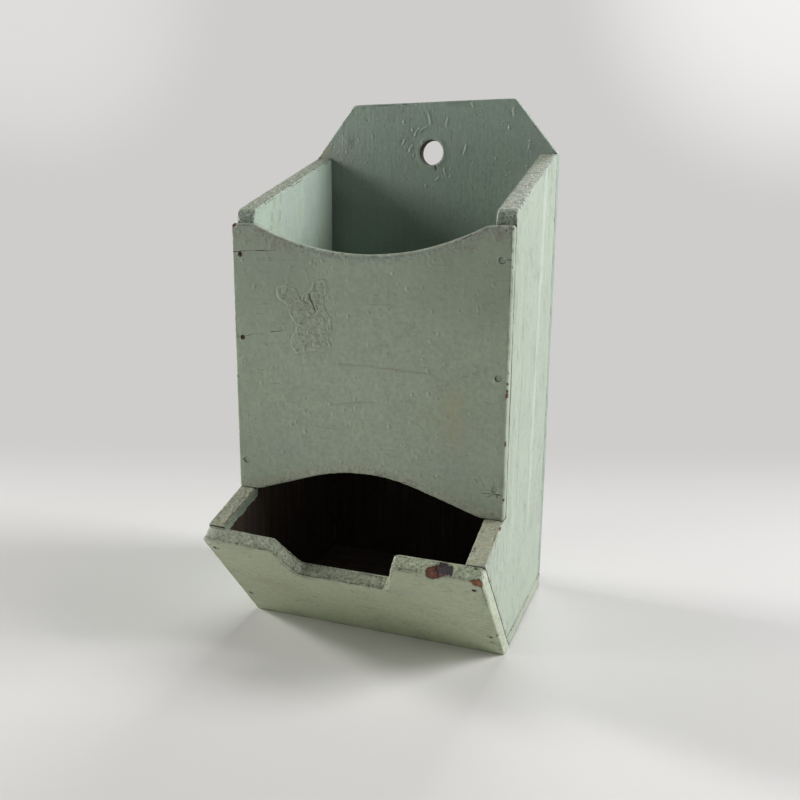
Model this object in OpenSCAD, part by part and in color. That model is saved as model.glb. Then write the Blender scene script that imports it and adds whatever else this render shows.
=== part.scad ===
// Wall-hung match holder, nailed together from six thin painted boards.
// The hopper is filled from above, its lower end opens under the arched front panel,
// and the matches come forward into the leaning tray at its foot.
// Millimetres. +Z is up, -Y is the front, and the origin is the middle of the footprint.

/* [Box] */
// Width over the two sides
box_w = 81; // [60:0.5:120]
// Depth from the face of the front panel to the wall
box_d = 59.5; // [45:0.5:90]
// Height of the back board's top edge above the table
back_h = 159; // [150:0.5:200]
// Width of each corner cropped off the back board
crop_w = 13.6; // [4:0.1:22]
// Height of each corner cropped off the back board, which ends level with the sides
crop_h = 16.6; // [10:0.1:22]

/* [Boards] */
// Thickness of the two sides
side_t = 5.4; // [4:0.1:8]
// Thickness of the back board
back_t = 3.8; // [2.5:0.1:7]
// Thickness of the front panel
panel_t = 3.2; // [2.5:0.1:6]
// Thickness of the bottom board
bottom_t = 4.4; // [3:0.1:8]
// Thickness of the board that closes the tray
tray_t = 4.3; // [3:0.1:7]

/* [Front panel] */
// Height of the front panel's top corners
panel_top = 121; // [100:0.5:130]
// Height of the front panel's bottom corners, where the mouth begins
mouth_h = 43.5; // [40:0.5:60]
// How far the sides stand above the front panel
side_stand = 3.6; // [2.5:0.1:12]
// Depth of the scoop in the top edge
scoop_d = 8; // [3:0.1:20]
// Width of the flat ear at each end of the scoop
scoop_ear = 6.8; // [5.5:0.1:16]
// Rise of the arch in the bottom edge
arch_rise = 8.4; // [4:0.1:14]
// Width of the flat ear at each end of the arch
arch_ear = 6.6; // [5.5:0.1:12]
// How round the arch is: near 0 two straight flanks meet in a point, at 1 it is one arc
arch_round = 0.3; // [0.1:0.05:0.9]

/* [Tray] */
// How far the tray's lip stands in front of the front panel
tray_reach = 21.1; // [14:0.1:34]
// How far the tray's foot is set back behind the face of the front panel
foot_inset = 8; // [2:0.1:14]
// Height of the lip's front edge
lip_h = 34.8; // [28:0.1:38]
// How far the left part of the lip dips on its way to the notch
lip_dip = 1.8; // [0.5:0.1:4]
// Width of the notch at the lip
notch_w = 36.4; // [20:0.1:50]
// Width of the notch at its floor
notch_floor_w = 27.2; // [12:0.1:33]
// Depth of the notch down the face of the board
notch_d = 14.4; // [6:0.1:24]
// How far the notch sits to the left of the middle
notch_shift = 1.9; // [0:0.1:6]

/* [Rounded corners] */
// Radius of the back board's four upper corners
back_r = 2; // [0.5:0.1:5]
// Radius of the sides' top front corners
side_r = 2.2; // [0.5:0.1:2.4]
// Radius where the scoop runs out into its ears
scoop_r = 5; // [1:0.1:12]
// Radius where the arch runs out into its ears
arch_r = 7; // [1:0.1:14]
// Radius of the notch's two inner corners
notch_r = 2.4; // [0.5:0.1:4]
// Radius of the lip's corners, beside the notch and at its ends
lip_r = 1.6; // [0.4:0.1:3]
// Radius of the bottom board's worn heel
heel_r = 2.6; // [0.5:0.1:2.8]

/* [Hanging hole] */
// Diameter of the hole that takes the wall hook
hole_d = 7.6; // [4:0.1:12]
// Distance of the hole's centre below the back board's top edge
hole_drop = 15.5; // [9:0.1:24]

/* [Nails] */
// Length of a nail
nail_l = 12.5; // [9:0.1:16]
// Diameter of a nail's shank
nail_d = 1.1; // [0.8:0.05:1.6]
// Diameter of a nail's head
head_d = 1.9; // [1.7:0.05:2.8]
// Thickness of a nail's head
head_t = 0.5; // [0.3:0.05:0.9]
// How deep the heads are set below the face of the board
nail_sink = 0.3; // [0.1:0.05:0.6]
// Play round a nail in its hole
nail_gap = 0.05; // [0.03:0.01:0.1]
// Distance of the front panel's end nails from its top and bottom corners
panel_nail_inset = 8.6; // [5:0.1:16]
// How much higher than halfway the front panel's left middle nail sits
panel_nail_lift = 6.6; // [0:0.1:16]
// Distance of the tray's upper nails below its lip
tray_nail_drop = 5; // [4:0.1:10]
// Distance of the tray's lower nails above its foot
tray_nail_rise = 12; // [10:0.1:18]
// Distance of the back board's end nails from the ends of its straight edges
back_nail_inset = 12; // [6:0.5:30]
// Distance of the bottom board's nails from the two ends of its upper face
bottom_nail_inset = 11; // [8:0.5:16]

/* [Hidden] */
$fn = 96;

// Colours of the paint and of the nails
paint = [0.62, 0.69, 0.61];
rusty_iron = [0.33, 0.25, 0.21];

// How far a cut runs past the face that it opens
over = 1;

// Planes across the depth: the footprint is centred on Y
wall_y = (box_d + tray_reach) / 2;
panel_y = wall_y - box_d;
back_y = wall_y - back_t;
front_edge_y = panel_y + panel_t;

// Heights of the sides' top edge at its two ends
side_back_h = back_h - crop_h;
side_front_h = panel_top + side_stand;

// The tray's leaning board: its slope, its length up the face and its foot
foot_y = panel_y + foot_inset;
lean = atan2(tray_reach + foot_inset, lip_h);
lip_l = norm([tray_reach + foot_inset, lip_h]);
heel_l = tray_t * tan(lean);

// Depth of the back face of the tray's board at height z
function tray_back_y(z) = foot_y + tray_t / cos(lean) - z * tan(lean);

// Top corner of that back face, to which the cheeks run down
lip_back_z = lip_h + tray_t * sin(lean);
lip_back = [tray_back_y(lip_back_z), lip_back_z];

// Middle of each side's thickness, where every nail goes in
nail_x = box_w / 2 - side_t / 2;

// Heights of the front panel's nails, lowest first
panel_nail_low = mouth_h + panel_nail_inset;
panel_nail_top = panel_top - panel_nail_inset;
panel_nail_mid = (panel_nail_low + panel_nail_top) / 2;

// Places of the other nails: up the tray's face, up the back and along the bottom
tray_nails = [tray_nail_rise, lip_l - tray_nail_drop];
back_nails = [
    bottom_t + back_nail_inset,
    (bottom_t + side_back_h) / 2,
    side_back_h - back_nail_inset
];
bottom_nails = [tray_back_y(bottom_t) + bottom_nail_inset, back_y - bottom_nail_inset];

// A unit vector at an angle
function heading(a) = [cos(a), sin(a)];

// Direction from one point to another
function bearing(from, to) = atan2(to[1] - from[1], to[0] - from[0]);

// What rounding leaves outside the arc at corner p of an outline. Points a and b lie along
// the two edges that leave p. It reaches past both edges, so it also cuts them cleanly.
module corner_waste(p, a, b, r) {
    turn = bearing(p, b) - bearing(p, a);
    half = (turn > 180 ? turn - 360 : turn < -180 ? turn + 360 : turn) / 2;
    centre = p + heading(bearing(p, a) + half) * r / sin(abs(half));
    run = r / tan(abs(half));
    past = 1.5;
    difference() {
        polygon([
            centre,
            centre + (p + heading(bearing(p, a)) * run - centre) * past,
            centre + (p - centre) * past,
            centre + (p + heading(bearing(p, b)) * run - centre) * past
        ]);
        translate(centre) circle(r);
    }
}

// An outline drawn front to back and upward, extruded to a thickness from x
module across(x, thickness) {
    translate([x, 0, 0]) rotate([90, 0, 90]) linear_extrude(thickness) children();
}

// An outline drawn across and upward, extruded back from y
module upright(y, thickness) {
    translate([0, y + thickness, 0]) rotate([90, 0, 0]) linear_extrude(thickness) children();
}

// The tray board's own frame: x across, y up its face from the foot, z out of its face
module on_tray() {
    translate([0, foot_y, 0]) rotate([90 + lean, 0, 0]) children();
}

// A wire nail standing on its point at -Z, with the face that it is driven into at z = 0
module nail() {
    top = -nail_sink;
    neck = top - head_t;
    tip = -nail_l;
    rotate_extrude($fn = 24) polygon([
        [0, top],
        [head_d / 2, top],
        [head_d / 2, neck],
        [nail_d / 2, neck - (head_d - nail_d) / 2],
        [nail_d / 2, tip + 1.6 * nail_d],
        [0, tip]
    ]);
}

// The hole that a nail is driven into, with its head's recess
module nail_hole() {
    recess = nail_sink + head_t + (head_d - nail_d) / 2;
    translate([0, 0, -nail_l - nail_gap])
        cylinder(d = nail_d + 2 * nail_gap, h = nail_l + nail_gap + over, $fn = 24);
    translate([0, 0, -recess - nail_gap])
        cylinder(d = head_d + 2 * nail_gap, h = recess + nail_gap + over, $fn = 24);
}

// Places where the children, a nail or its hole, go: on both sides unless side is given
module at_panel_nails() {
    for (side = [-1, 1])
        for (z = [panel_nail_low, panel_nail_mid + (side < 0 ? panel_nail_lift : 0), panel_nail_top])
            translate([side * nail_x, panel_y, z]) rotate([90, 0, 0]) children();
}

module at_tray_nails() {
    for (side = [-1, 1])
        for (s = tray_nails)
            on_tray() translate([side * nail_x, s, 0]) children();
}

module at_back_nails() {
    for (side = [-1, 1])
        for (z = back_nails)
            translate([side * nail_x, wall_y, z]) rotate([-90, 0, 0]) children();
}

module at_bottom_nails() {
    for (side = [-1, 1])
        for (y = bottom_nails)
            translate([side * nail_x, y, 0]) rotate([180, 0, 0]) children();
}

// The back board, cropped at its top corners to end level with the sides
module back_outline() {
    half = box_w / 2;
    foot = [half, bottom_t];
    crop_foot = [half, side_back_h];
    crop_top = [half - crop_w, back_h];
    mid_top = [0, back_h];
    difference() {
        polygon([
            [-half, bottom_t], foot, crop_foot, crop_top,
            [-crop_top[0], back_h], [-half, side_back_h]
        ]);
        for (side = [0, 1]) mirror([side, 0]) {
            corner_waste(crop_foot, foot, crop_top, back_r);
            corner_waste(crop_top, crop_foot, mid_top, back_r);
        }
        translate([0, back_h - hole_drop]) circle(d = hole_d);
    }
}

module back_board() {
    color(paint) difference() {
        upright(back_y, back_t) back_outline();
        at_back_nails() nail_hole();
    }
}

// A side: hopper wall behind, with a shoulder for the front panel and the tray's cheek below
module side_outline() {
    shoulder = [front_edge_y, mouth_h];
    top_front = [front_edge_y, side_front_h];
    top_back = [back_y, side_back_h];
    difference() {
        polygon([
            [back_y, bottom_t],
            [tray_back_y(bottom_t), bottom_t],
            lip_back,
            [panel_y, mouth_h],
            shoulder,
            top_front,
            top_back
        ]);
        corner_waste(top_front, shoulder, top_back, side_r);
    }
}

module side_board(x) {
    color(paint) difference() {
        across(x, side_t) side_outline();
        at_panel_nails() nail_hole();
        at_tray_nails() nail_hole();
        at_back_nails() nail_hole();
        at_bottom_nails() nail_hole();
    }
}

module left_side() {
    side_board(-box_w / 2);
}

module right_side() {
    side_board(box_w / 2 - side_t);
}

// The bottom board, bevelled along its front to the tray board's slope
module bottom_outline() {
    heel = [wall_y, 0];
    heel_top = [wall_y, bottom_t];
    toe = [tray_back_y(0), 0];
    difference() {
        polygon([toe, heel, heel_top, [tray_back_y(bottom_t), bottom_t]]);
        corner_waste(heel, heel_top, toe, heel_r);
    }
}

module bottom_board() {
    color(paint) difference() {
        across(-box_w / 2, box_w) bottom_outline();
        at_bottom_nails() nail_hole();
    }
}

// The scoop: one shallow arc, running out into the ears over a small one at each end
module scoop() {
    half = box_w / 2 - scoop_ear;
    r = (half * half + scoop_d * scoop_d) / (2 * scoop_d);
    centre_z = panel_top - scoop_d + r;
    blend_z = panel_top - scoop_r;
    blend_x = sqrt(pow(r + scoop_r, 2) - pow(centre_z - blend_z, 2));
    touch = [blend_x, blend_z - centre_z] * r / (r + scoop_r) + [0, centre_z];
    translate([0, centre_z]) circle(r, $fn = 360);
    difference() {
        polygon([
            [-blend_x, panel_top], [-touch[0], touch[1]], touch,
            [blend_x, panel_top], [blend_x, panel_top + over], [-blend_x, panel_top + over]
        ]);
        for (side = [-1, 1]) translate([side * blend_x, blend_z]) circle(scoop_r);
    }
}

// The arch: a round crown, and straight flanks that leave it as tangents and end at the ears
module arch() {
    half = box_w / 2 - arch_ear;
    flank = (1 + arch_round) * atan(arch_rise / half);
    crown_r = (half * tan(flank) - arch_rise) / (1 / cos(flank) - 1);
    crown = [0, mouth_h + arch_rise - crown_r];
    touch = crown + crown_r * heading(90 - flank);
    corner = [half, mouth_h];
    polygon([
        [-half, mouth_h - over], [-half, mouth_h], [-touch[0], touch[1]],
        touch, corner, [half, mouth_h - over]
    ]);
    translate(crown) circle(crown_r, $fn = 360);
    for (side = [0, 1]) mirror([side, 0])
        corner_waste(corner, touch, [box_w / 2, mouth_h], arch_r);
}

module front_panel() {
    color(paint) difference() {
        upright(panel_y, panel_t) difference() {
            translate([-box_w / 2, mouth_h]) square([box_w, panel_top - mouth_h]);
            scoop();
            arch();
        }
        at_panel_nails() nail_hole();
    }
}

// Half the notch's width at a height above its floor
function notch_half(up) = (notch_floor_w + (notch_w - notch_floor_w) * up / notch_d) / 2;

// The finger notch, its walls drawn past the lip and its two inner corners round
module notch() {
    corner = [notch_half(0), 0];
    past = [notch_half(notch_d + over), notch_d + over];
    difference() {
        polygon([[-corner[0], 0], [-past[0], past[1]], past, corner]);
        for (side = [0, 1]) mirror([side, 0])
            corner_waste(corner, past, [-corner[0], 0], notch_r);
    }
}

// The tray's leaning board, drawn flat: its lip dips on the left and has the notch in it
module tray_outline() {
    half = box_w / 2;
    floor_s = lip_l - notch_d;
    left = [-notch_shift - notch_half(notch_d - lip_dip), lip_l - lip_dip];
    right = [-notch_shift + notch_half(notch_d), lip_l];
    difference() {
        polygon([
            [-half, -heel_l], [-half, lip_l], left, right, [half, lip_l], [half, -heel_l]
        ]);
        translate([-notch_shift, floor_s]) notch();
        corner_waste([-half, lip_l], [-half, 0], left, lip_r);
        corner_waste(left, [-half, lip_l], [-notch_shift - notch_half(0), floor_s], lip_r);
        corner_waste(right, [-notch_shift + notch_half(0), floor_s], [half, lip_l], lip_r);
        corner_waste([half, lip_l], right, [half, 0], lip_r);
    }
}

module tray_front() {
    color(paint) difference() {
        on_tray() translate([0, 0, -tray_t]) linear_extrude(tray_t) tray_outline();
        translate([-box_w, foot_y - box_d, -back_h]) cube([2 * box_w, 2 * box_d, back_h]);
        at_tray_nails() nail_hole();
    }
}

module front_panel_nails() {
    color(rusty_iron) at_panel_nails() nail();
}

module tray_front_nails() {
    color(rusty_iron) at_tray_nails() nail();
}

module back_board_nails() {
    color(rusty_iron) at_back_nails() nail();
}

module bottom_board_nails() {
    color(rusty_iron) at_bottom_nails() nail();
}

back_board();
left_side();
right_side();
bottom_board();
front_panel();
tray_front();
front_panel_nails();
tray_front_nails();
back_board_nails();
bottom_board_nails();
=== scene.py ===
"""Looks of the wall-hung match holder: old sage paint over six thin boards and their nails.

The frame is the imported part's own: +Z is up, -Y is the front. All sizes are millimetres
until mm() or a mesh's finish turns them into metres. Nothing here is random without a seed.
"""

import math

import bmesh
import bpy
import numpy as np
from mathutils import Matrix, Vector
from mathutils.bvhtree import BVHTree
from mathutils.kdtree import KDTree


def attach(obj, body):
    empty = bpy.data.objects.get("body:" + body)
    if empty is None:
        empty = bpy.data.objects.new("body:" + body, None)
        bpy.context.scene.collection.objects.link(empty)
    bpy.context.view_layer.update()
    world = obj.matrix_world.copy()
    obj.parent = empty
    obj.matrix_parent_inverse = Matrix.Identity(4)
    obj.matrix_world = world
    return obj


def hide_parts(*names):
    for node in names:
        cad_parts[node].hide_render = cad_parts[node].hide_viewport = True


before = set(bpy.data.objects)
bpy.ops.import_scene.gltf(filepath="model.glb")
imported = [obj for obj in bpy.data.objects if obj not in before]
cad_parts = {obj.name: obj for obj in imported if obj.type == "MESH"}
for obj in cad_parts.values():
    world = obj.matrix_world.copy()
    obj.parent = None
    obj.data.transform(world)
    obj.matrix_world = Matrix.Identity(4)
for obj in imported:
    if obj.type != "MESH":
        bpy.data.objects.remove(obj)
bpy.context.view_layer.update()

# Sizes, as in the part's source
HALF_W = 40.5
WALL_Y = 40.3
BACK_Y = 36.5
PANEL_Y = -19.2
FRONT_EDGE_Y = -16.0
SIDE_T = 5.4
PANEL_TOP = 121.0
MOUTH_H = 43.5
SIDE_BACK_H = 142.4
SIDE_FRONT_H = 124.6
BACK_H = 159.0
BOTTOM_T = 4.4
FOOT_Y = -11.2
LIP_L = 45.36
LIP_FRONT = (-40.3, 34.8)
LIP_BACK = (-37.0, 37.56)
LEAN = math.radians(39.9)
NAIL_X = 37.8
NAIL_L = 12.5
NAIL_R = 0.55
HEAD_R = 0.95
HEAD_T = 0.5
NAIL_SINK = 0.3
BACK_FOOT_Y = -5.594  # where the tray board's back face would meet the table

INSIDE_X = HALF_W - SIDE_T

# Paint on each board and its mesh step in mm (the grain's direction is in MARKS). Each paint's lightness was set to
# how lit that board looked, so the differences between boards are partly painted light and shade: the back board's
# darker paint is painted shade.
BOARDS = {
    "back_board": (0.80, (0.312, 0.408, 0.340)),
    "left_side": (0.70, (0.405, 0.508, 0.400)),
    "right_side": (0.66, (0.405, 0.478, 0.398)),
    "bottom_board": (0.80, (0.400, 0.455, 0.360)),
    "front_panel": (0.78, (0.360, 0.438, 0.330)),
    "tray_front": (0.73, (0.425, 0.482, 0.325)),
}


def mm(value):
    return value * 0.001


# Noise on arrays of points
LATTICE = np.random.default_rng(7).random((64, 64, 64)).ravel() * 2 - 1


def smooth_noise(points, seed):
    """Smooth noise from -1 to 1 with features about one unit wide."""
    q = points + np.array([seed * 7.31 % 64, seed * 3.77 % 64, seed * 5.13 % 64])
    base = np.floor(q)
    t = q - base
    t = t * t * (3 - 2 * t)
    low = base.astype(np.int64) & 63
    high = (low + 1) & 63
    index = [(low[:, k] * 64 ** (2 - k), high[:, k] * 64 ** (2 - k)) for k in range(3)]
    weight = [(1 - t[:, k], t[:, k]) for k in range(3)]
    total = np.zeros(len(points))
    for i in (0, 1):
        for j in (0, 1):
            share = weight[0][i] * weight[1][j]
            row = index[0][i] + index[1][j]
            total += share * weight[2][0] * LATTICE[row + index[2][0]]
            total += share * weight[2][1] * LATTICE[row + index[2][1]]
    return total


def layered(points, size, seed, layers=3, stretch=(1, 1, 1)):
    """Layers of smooth noise. Points in mm, size is the widest features' in mm."""
    q = points / (size * np.array(stretch, float))
    total, weight, scale = np.zeros(len(points)), 0.0, 1.0
    for k in range(layers):
        total += smooth_noise(q * 2**k + 13.7 * k, seed + 31 * k) * scale
        weight += scale
        scale *= 0.5
    return total / weight


def step_up(x, low, high):
    """0 below low, 1 above high, smooth between."""
    t = np.clip((x - low) / (high - low), 0, 1)
    return t * t * (3 - 2 * t)


def bell(x, width):
    return np.exp(-((x / width) ** 2))


# Flat faces, and marks on them
class Face:
    """A flat face: its own coordinates u and v in mm, and the height over it."""

    def __init__(self, origin, across, up):
        self.origin = np.array(origin, float)
        self.across = np.array(across, float)
        self.up = np.array(up, float)
        self.out = np.cross(self.across, self.up)

    def at(self, points):
        q = points - self.origin
        return q @ self.across, q @ self.up, q @ self.out

    def place(self, u, v, height):
        return self.origin + self.across * u + self.up * v + self.out * height


COS, SIN = math.cos(LEAN), math.sin(LEAN)
X, Y, Z = (1, 0, 0), (0, 1, 0), (0, 0, 1)
TOP_RUN = Vector((0, BACK_Y - FRONT_EDGE_Y, SIDE_BACK_H - SIDE_FRONT_H)).normalized()
CHEEK_RUN = Vector((0, PANEL_Y - LIP_BACK[0], MOUTH_H - LIP_BACK[1])).normalized()

PANEL = Face((0, PANEL_Y, 0), X, Z)
BACK = Face((0, BACK_Y, 0), X, Z)
REAR = Face((0, WALL_Y, 0), (-1, 0, 0), Z)
UNDER = Face((0, 0, 0), (-1, 0, 0), Y)
RIGHT = Face((HALF_W, 0, 0), Y, Z)
LEFT = Face((-HALF_W, 0, 0), (0, -1, 0), Z)
LEFT_INSIDE = Face((-INSIDE_X, 0, 0), Y, Z)
RIGHT_INSIDE = Face((INSIDE_X, 0, 0), (0, -1, 0), Z)
TRAY = Face((0, FOOT_Y, 0), X, (0, -SIN, COS))
LIP = Face((0, *LIP_FRONT), X, (0, COS, SIN))
SIDE_TOP = Face((0, FRONT_EDGE_Y, SIDE_FRONT_H), X, TOP_RUN)
CHEEK = Face((0, *LIP_BACK), X, CHEEK_RUN)
SIDE_END = Face((0, FRONT_EDGE_Y, 0), X, Z)


def from_line(u, v, points):
    """Distance of each (u, v) from a line of points in mm, and its share of the way along."""
    p = np.array(points, float).reshape(-1, 2)
    if len(p) == 1:
        return np.hypot(u - p[0, 0], v - p[0, 1]), np.zeros(len(u))
    legs = np.diff(p, axis=0)
    lengths = np.hypot(*legs.T)
    best, along, start = np.full(len(u), 1e9), np.zeros(len(u)), 0.0
    for a, leg, length in zip(p, legs, lengths):
        t = np.clip(((u - a[0]) * leg[0] + (v - a[1]) * leg[1]) / length**2, 0, 1)
        d = np.hypot(u - a[0] - t * leg[0], v - a[1] - t * leg[1])
        closer = d < best
        best[closer] = d[closer]
        along[closer] = (start + t * length)[closer]
        start += length
    return best, along / start


def inside(u, v, points):
    """Distance in mm into the outline of points: above 0 inside, below 0 outside."""
    p = np.array(points, float)
    within = np.zeros(len(u), bool)
    for a, b in zip(p, np.roll(p, -1, axis=0)):
        crossing = (a[1] > v) != (b[1] > v)
        with np.errstate(divide="ignore", invalid="ignore"):
            at = (b[0] - a[0]) * (v - a[1]) / (b[1] - a[1]) + a[0]
        within ^= crossing & (u < at)
    away = from_line(u, v, np.vstack([p, p[:1]]))[0]
    return np.where(within, away, -away)


# A board as a dense mesh
NAIL_PLACES = {
    "front_panel_nails": [
        (PANEL, side * NAIL_X, z)
        for side, heights in ((-1, (52.1, 88.85, 112.4)), (1, (52.1, 82.25, 112.4)))
        for z in heights
    ],
    "tray_front_nails": [(TRAY, side * NAIL_X, s) for side in (-1, 1) for s in (12.0, 40.36)],
    "back_board_nails": [
        (REAR, side * NAIL_X, z) for side in (-1, 1) for z in (16.4, 73.4, 130.4)
    ],
    "bottom_board_nails": [(UNDER, side * NAIL_X, y) for side in (-1, 1) for y in (1.728, 25.5)],
}


class Board:
    """A dense copy of a CAD board, as arrays in millimetres."""

    def __init__(self, name, stages):
        self.name = name
        mesh = self.remeshed(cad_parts[name], mm(BOARDS[name][0]))
        self.take(mesh)
        for where in stages:
            self.refine(where)
        self.mesh = bpy.data.meshes.new("painted_" + name)
        faces = [f[:3] if f[3] < 0 else f for f in self.faces.tolist()]
        self.mesh.from_pydata((self.co * 0.001).tolist(), [], faces)
        self.read()
        self.snap()
        self.lift = np.zeros(self.n)
        self.fields = {}

    def take(self, mesh):
        """Reads the mesh into arrays: points in mm, and faces as rows of 4, or 3 and a -1."""
        co = np.empty(len(mesh.vertices) * 3)
        mesh.vertices.foreach_get("co", co)
        corners = np.empty(len(mesh.loops), np.int32)
        mesh.loops.foreach_get("vertex_index", corners)
        sizes = np.empty(len(mesh.polygons), np.int32)
        mesh.polygons.foreach_get("loop_total", sizes)
        starts = np.cumsum(sizes) - sizes
        self.co = co.reshape(-1, 3) * 1000
        self.faces = corners[starts[:, None] + np.minimum(np.arange(4), sizes[:, None] - 1)]
        self.faces = self.faces.astype(np.int64)
        self.faces[sizes == 3, 3] = -1
        bpy.data.meshes.remove(mesh)

    def refine(self, where):
        """Splits the faces for which where(self, centres) is true in four, and fits in the rest."""
        co, faces = self.co, self.faces
        n = len(co)
        three = faces[:, 3] < 0
        centres = np.where(
            three[:, None], co[faces[:, :3]].mean(1), co[np.maximum(faces, 0)].mean(1)
        )
        chosen = where(self, centres)
        after = np.roll(faces, -1, axis=1)
        after[three, 2] = faces[three, 0]
        real = faces >= 0
        keys = np.minimum(faces, after) * n + np.maximum(faces, after)
        split = np.unique(keys[chosen][real[chosen]])
        at = np.searchsorted(split, keys).clip(0, len(split) - 1)
        mids = np.where(real & (split[at] == keys), n + at, -1)
        touched = (mids >= 0).any(axis=1)
        middle = np.full(len(faces), -1)
        needs = touched & ~(chosen & three)
        middle[needs] = n + len(split) + np.arange(needs.sum())
        self.co = np.vstack([co, (co[split // n] + co[split % n]) / 2, centres[needs]])
        made = [faces[~touched]]
        quads = chosen & ~three
        f, m, c = faces[quads], mids[quads], middle[quads]
        made += [np.stack([f[:, k], m[:, k], c, m[:, k - 1]], 1) for k in range(4)]
        tris = chosen & three
        f, m, none = faces[tris], mids[tris], np.full(tris.sum(), -1)
        made += [np.stack([f[:, k], m[:, k], m[:, (k + 2) % 3], none], 1) for k in range(3)]
        made.append(np.stack([m[:, 0], m[:, 1], m[:, 2], none], 1))
        fans = []
        rest = touched & ~chosen
        for row, mid, centre in zip(faces[rest].tolist(), mids[rest].tolist(), middle[rest].tolist()):
            ring = [i for pair in zip(row, mid) for i in pair if i >= 0]
            fans += [(a, b, centre, -1) for a, b in zip(ring, ring[1:] + ring[:1])]
        made.append(np.array(fans, np.int64).reshape(-1, 4))
        self.faces = np.vstack(made)

    def remeshed(self, node, voxel):
        """The node's shape with its nail holes plugged, in even squares."""
        source = node.data.copy()
        bm = bmesh.new()
        bm.from_mesh(source)
        bmesh.ops.remove_doubles(bm, verts=bm.verts, dist=1e-7)
        self.find_arrises(bm)
        for places in NAIL_PLACES.values():
            for face, u, v in places:
                self.plug(bm, face, u, v)
        bm.to_mesh(source)
        self.cad = BVHTree.FromBMesh(bm)
        bm.free()
        work = bpy.data.objects.new("work", source)
        bpy.context.scene.collection.objects.link(work)
        remesh = work.modifiers.new("remesh", "REMESH")
        remesh.mode = "VOXEL"
        remesh.voxel_size = voxel
        graph = bpy.context.evaluated_depsgraph_get()
        mesh = bpy.data.meshes.new_from_object(work.evaluated_get(graph), depsgraph=graph)
        bpy.data.objects.remove(work)
        bpy.data.meshes.remove(source)
        return mesh

    def plug(self, bm, face, u, v):
        """A cylinder in the nail's hole, between the board's own two faces that it crosses."""
        start = Vector(face.place(u, v, 0.5) * 0.001)
        along = Vector(-face.out)
        tree = BVHTree.FromBMesh(bm)
        for reach in (HEAD_R + 0.4,):
            side = Vector(face.across) * mm(reach)
            enter = tree.ray_cast(start + side, along, mm(NAIL_L + 0.5))
            if enter[0] is None:
                return
            leave = tree.ray_cast(enter[0] + along * 1e-5, along, mm(30))
        top = (enter[0] - start).dot(along)
        end = (leave[0] - start).dot(along) if leave[0] is not None else top + mm(NAIL_L + 1)
        depth = min(end, mm(NAIL_L + 0.5 + 0.6))
        turn = Vector((0, 0, 1)).rotation_difference(-along).to_matrix().to_4x4()
        middle = start + along * (top + depth) / 2
        bmesh.ops.create_cone(
            bm,
            cap_ends=True,
            segments=24,
            radius1=mm(HEAD_R + 0.2),
            radius2=mm(HEAD_R + 0.2),
            depth=depth - top,
            matrix=Matrix.Translation(middle) @ turn,
        )

    def find_arrises(self, bm):
        """Points every 0.25 mm along the sharp edges, away from the nail holes."""
        spots = []
        axes = [face.place(u, v, 0) for places in NAIL_PLACES.values() for face, u, v in places]
        outs = [face.out for places in NAIL_PLACES.values() for face, u, v in places]
        for edge in bm.edges:
            if len(edge.link_faces) != 2 or edge.calc_face_angle(0) < math.radians(25):
                continue
            a, b = (np.array(v.co) * 1000 for v in edge.verts)
            count = max(2, int(np.linalg.norm(b - a) / 0.25) + 1)
            spots.extend(a + (b - a) * t for t in np.linspace(0, 1, count))
        spots = np.array(spots)
        keep = np.ones(len(spots), bool)
        for axis, out in zip(axes, outs):
            away = spots - axis
            along = away @ out
            beside = np.linalg.norm(away - along[:, None] * out, axis=1)
            keep &= ~((beside < 1.2) & (along < 0.2) & (along > -NAIL_L - 1))
        self.arrises = KDTree(int(keep.sum()))
        for i, p in enumerate(spots[keep]):
            self.arrises.insert(p, i)
        self.arrises.balance()

    def to_arris(self, points):
        find = self.arrises.find
        return np.array([find(p)[2] for p in points.tolist()])

    def read(self):
        n = len(self.co)
        edges = np.empty(len(self.mesh.edges) * 2, np.int64)
        self.mesh.edges.foreach_get("vertices", edges)
        self.n, self.edges = n, edges.reshape(-1, 2)
        self.degree = np.bincount(self.edges.ravel(), minlength=n)

    def relaxed(self, values, radius, rounds=12):
        """values spread over the surface by about radius mm, alike in fine and coarse parts."""
        a, b = self.edges.T
        rate = np.minimum(0.62, (radius / self.step) ** 2 / rounds)[:, None]
        v = values.copy() if values.ndim > 1 else values[:, None].copy()
        for _ in range(rounds):
            total = np.stack(
                [
                    np.bincount(a, v[b, k], self.n) + np.bincount(b, v[a, k], self.n)
                    for k in range(v.shape[1])
                ],
                1,
            )
            v += rate * (total / self.degree[:, None] - v)
        return v if values.ndim > 1 else v[:, 0]

    def snap(self):
        """Puts the vertices on the CAD surface, and finds how it rounds when worn."""
        find = self.cad.find_nearest
        self.co = np.array([find(p)[0].to_tuple() for p in (self.co * 0.001).tolist()]) * 1000
        a, b = self.edges.T
        length = np.linalg.norm(self.co[a] - self.co[b], axis=1)
        total = np.bincount(a, length, self.n) + np.bincount(b, length, self.n)
        self.step = np.maximum(total / self.degree, 0.04)
        self.edge = self.to_arris(self.co)
        self.smooth_normal = self.normals(self.relaxed(self.co, 0.30))
        self.cad_normal = self.normals(self.co)

    def normals(self, co):
        self.mesh.vertices.foreach_set("co", (co * 0.001).ravel())
        self.mesh.update()
        out = np.empty(self.n * 3)
        self.mesh.vertices.foreach_get("normal", out)
        return out.reshape(-1, 3)

    def meets(self, others, reach=1.5):
        """Distance in mm of each vertex from the other boards, up to reach."""
        best = np.full(self.n, reach)
        for other in others:
            low, high = other.co.min(0) - reach, other.co.max(0) + reach
            close = (self.edge < 2.2) & ((self.co > low) & (self.co < high)).all(axis=1)
            for i in np.flatnonzero(close).tolist():
                hit = other.cad.find_nearest(Vector(self.co[i] * 0.001), mm(reach))
                if hit[3] is not None:
                    best[i] = min(best[i], hit[3] * 1000)
        self.meeting = best

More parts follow.
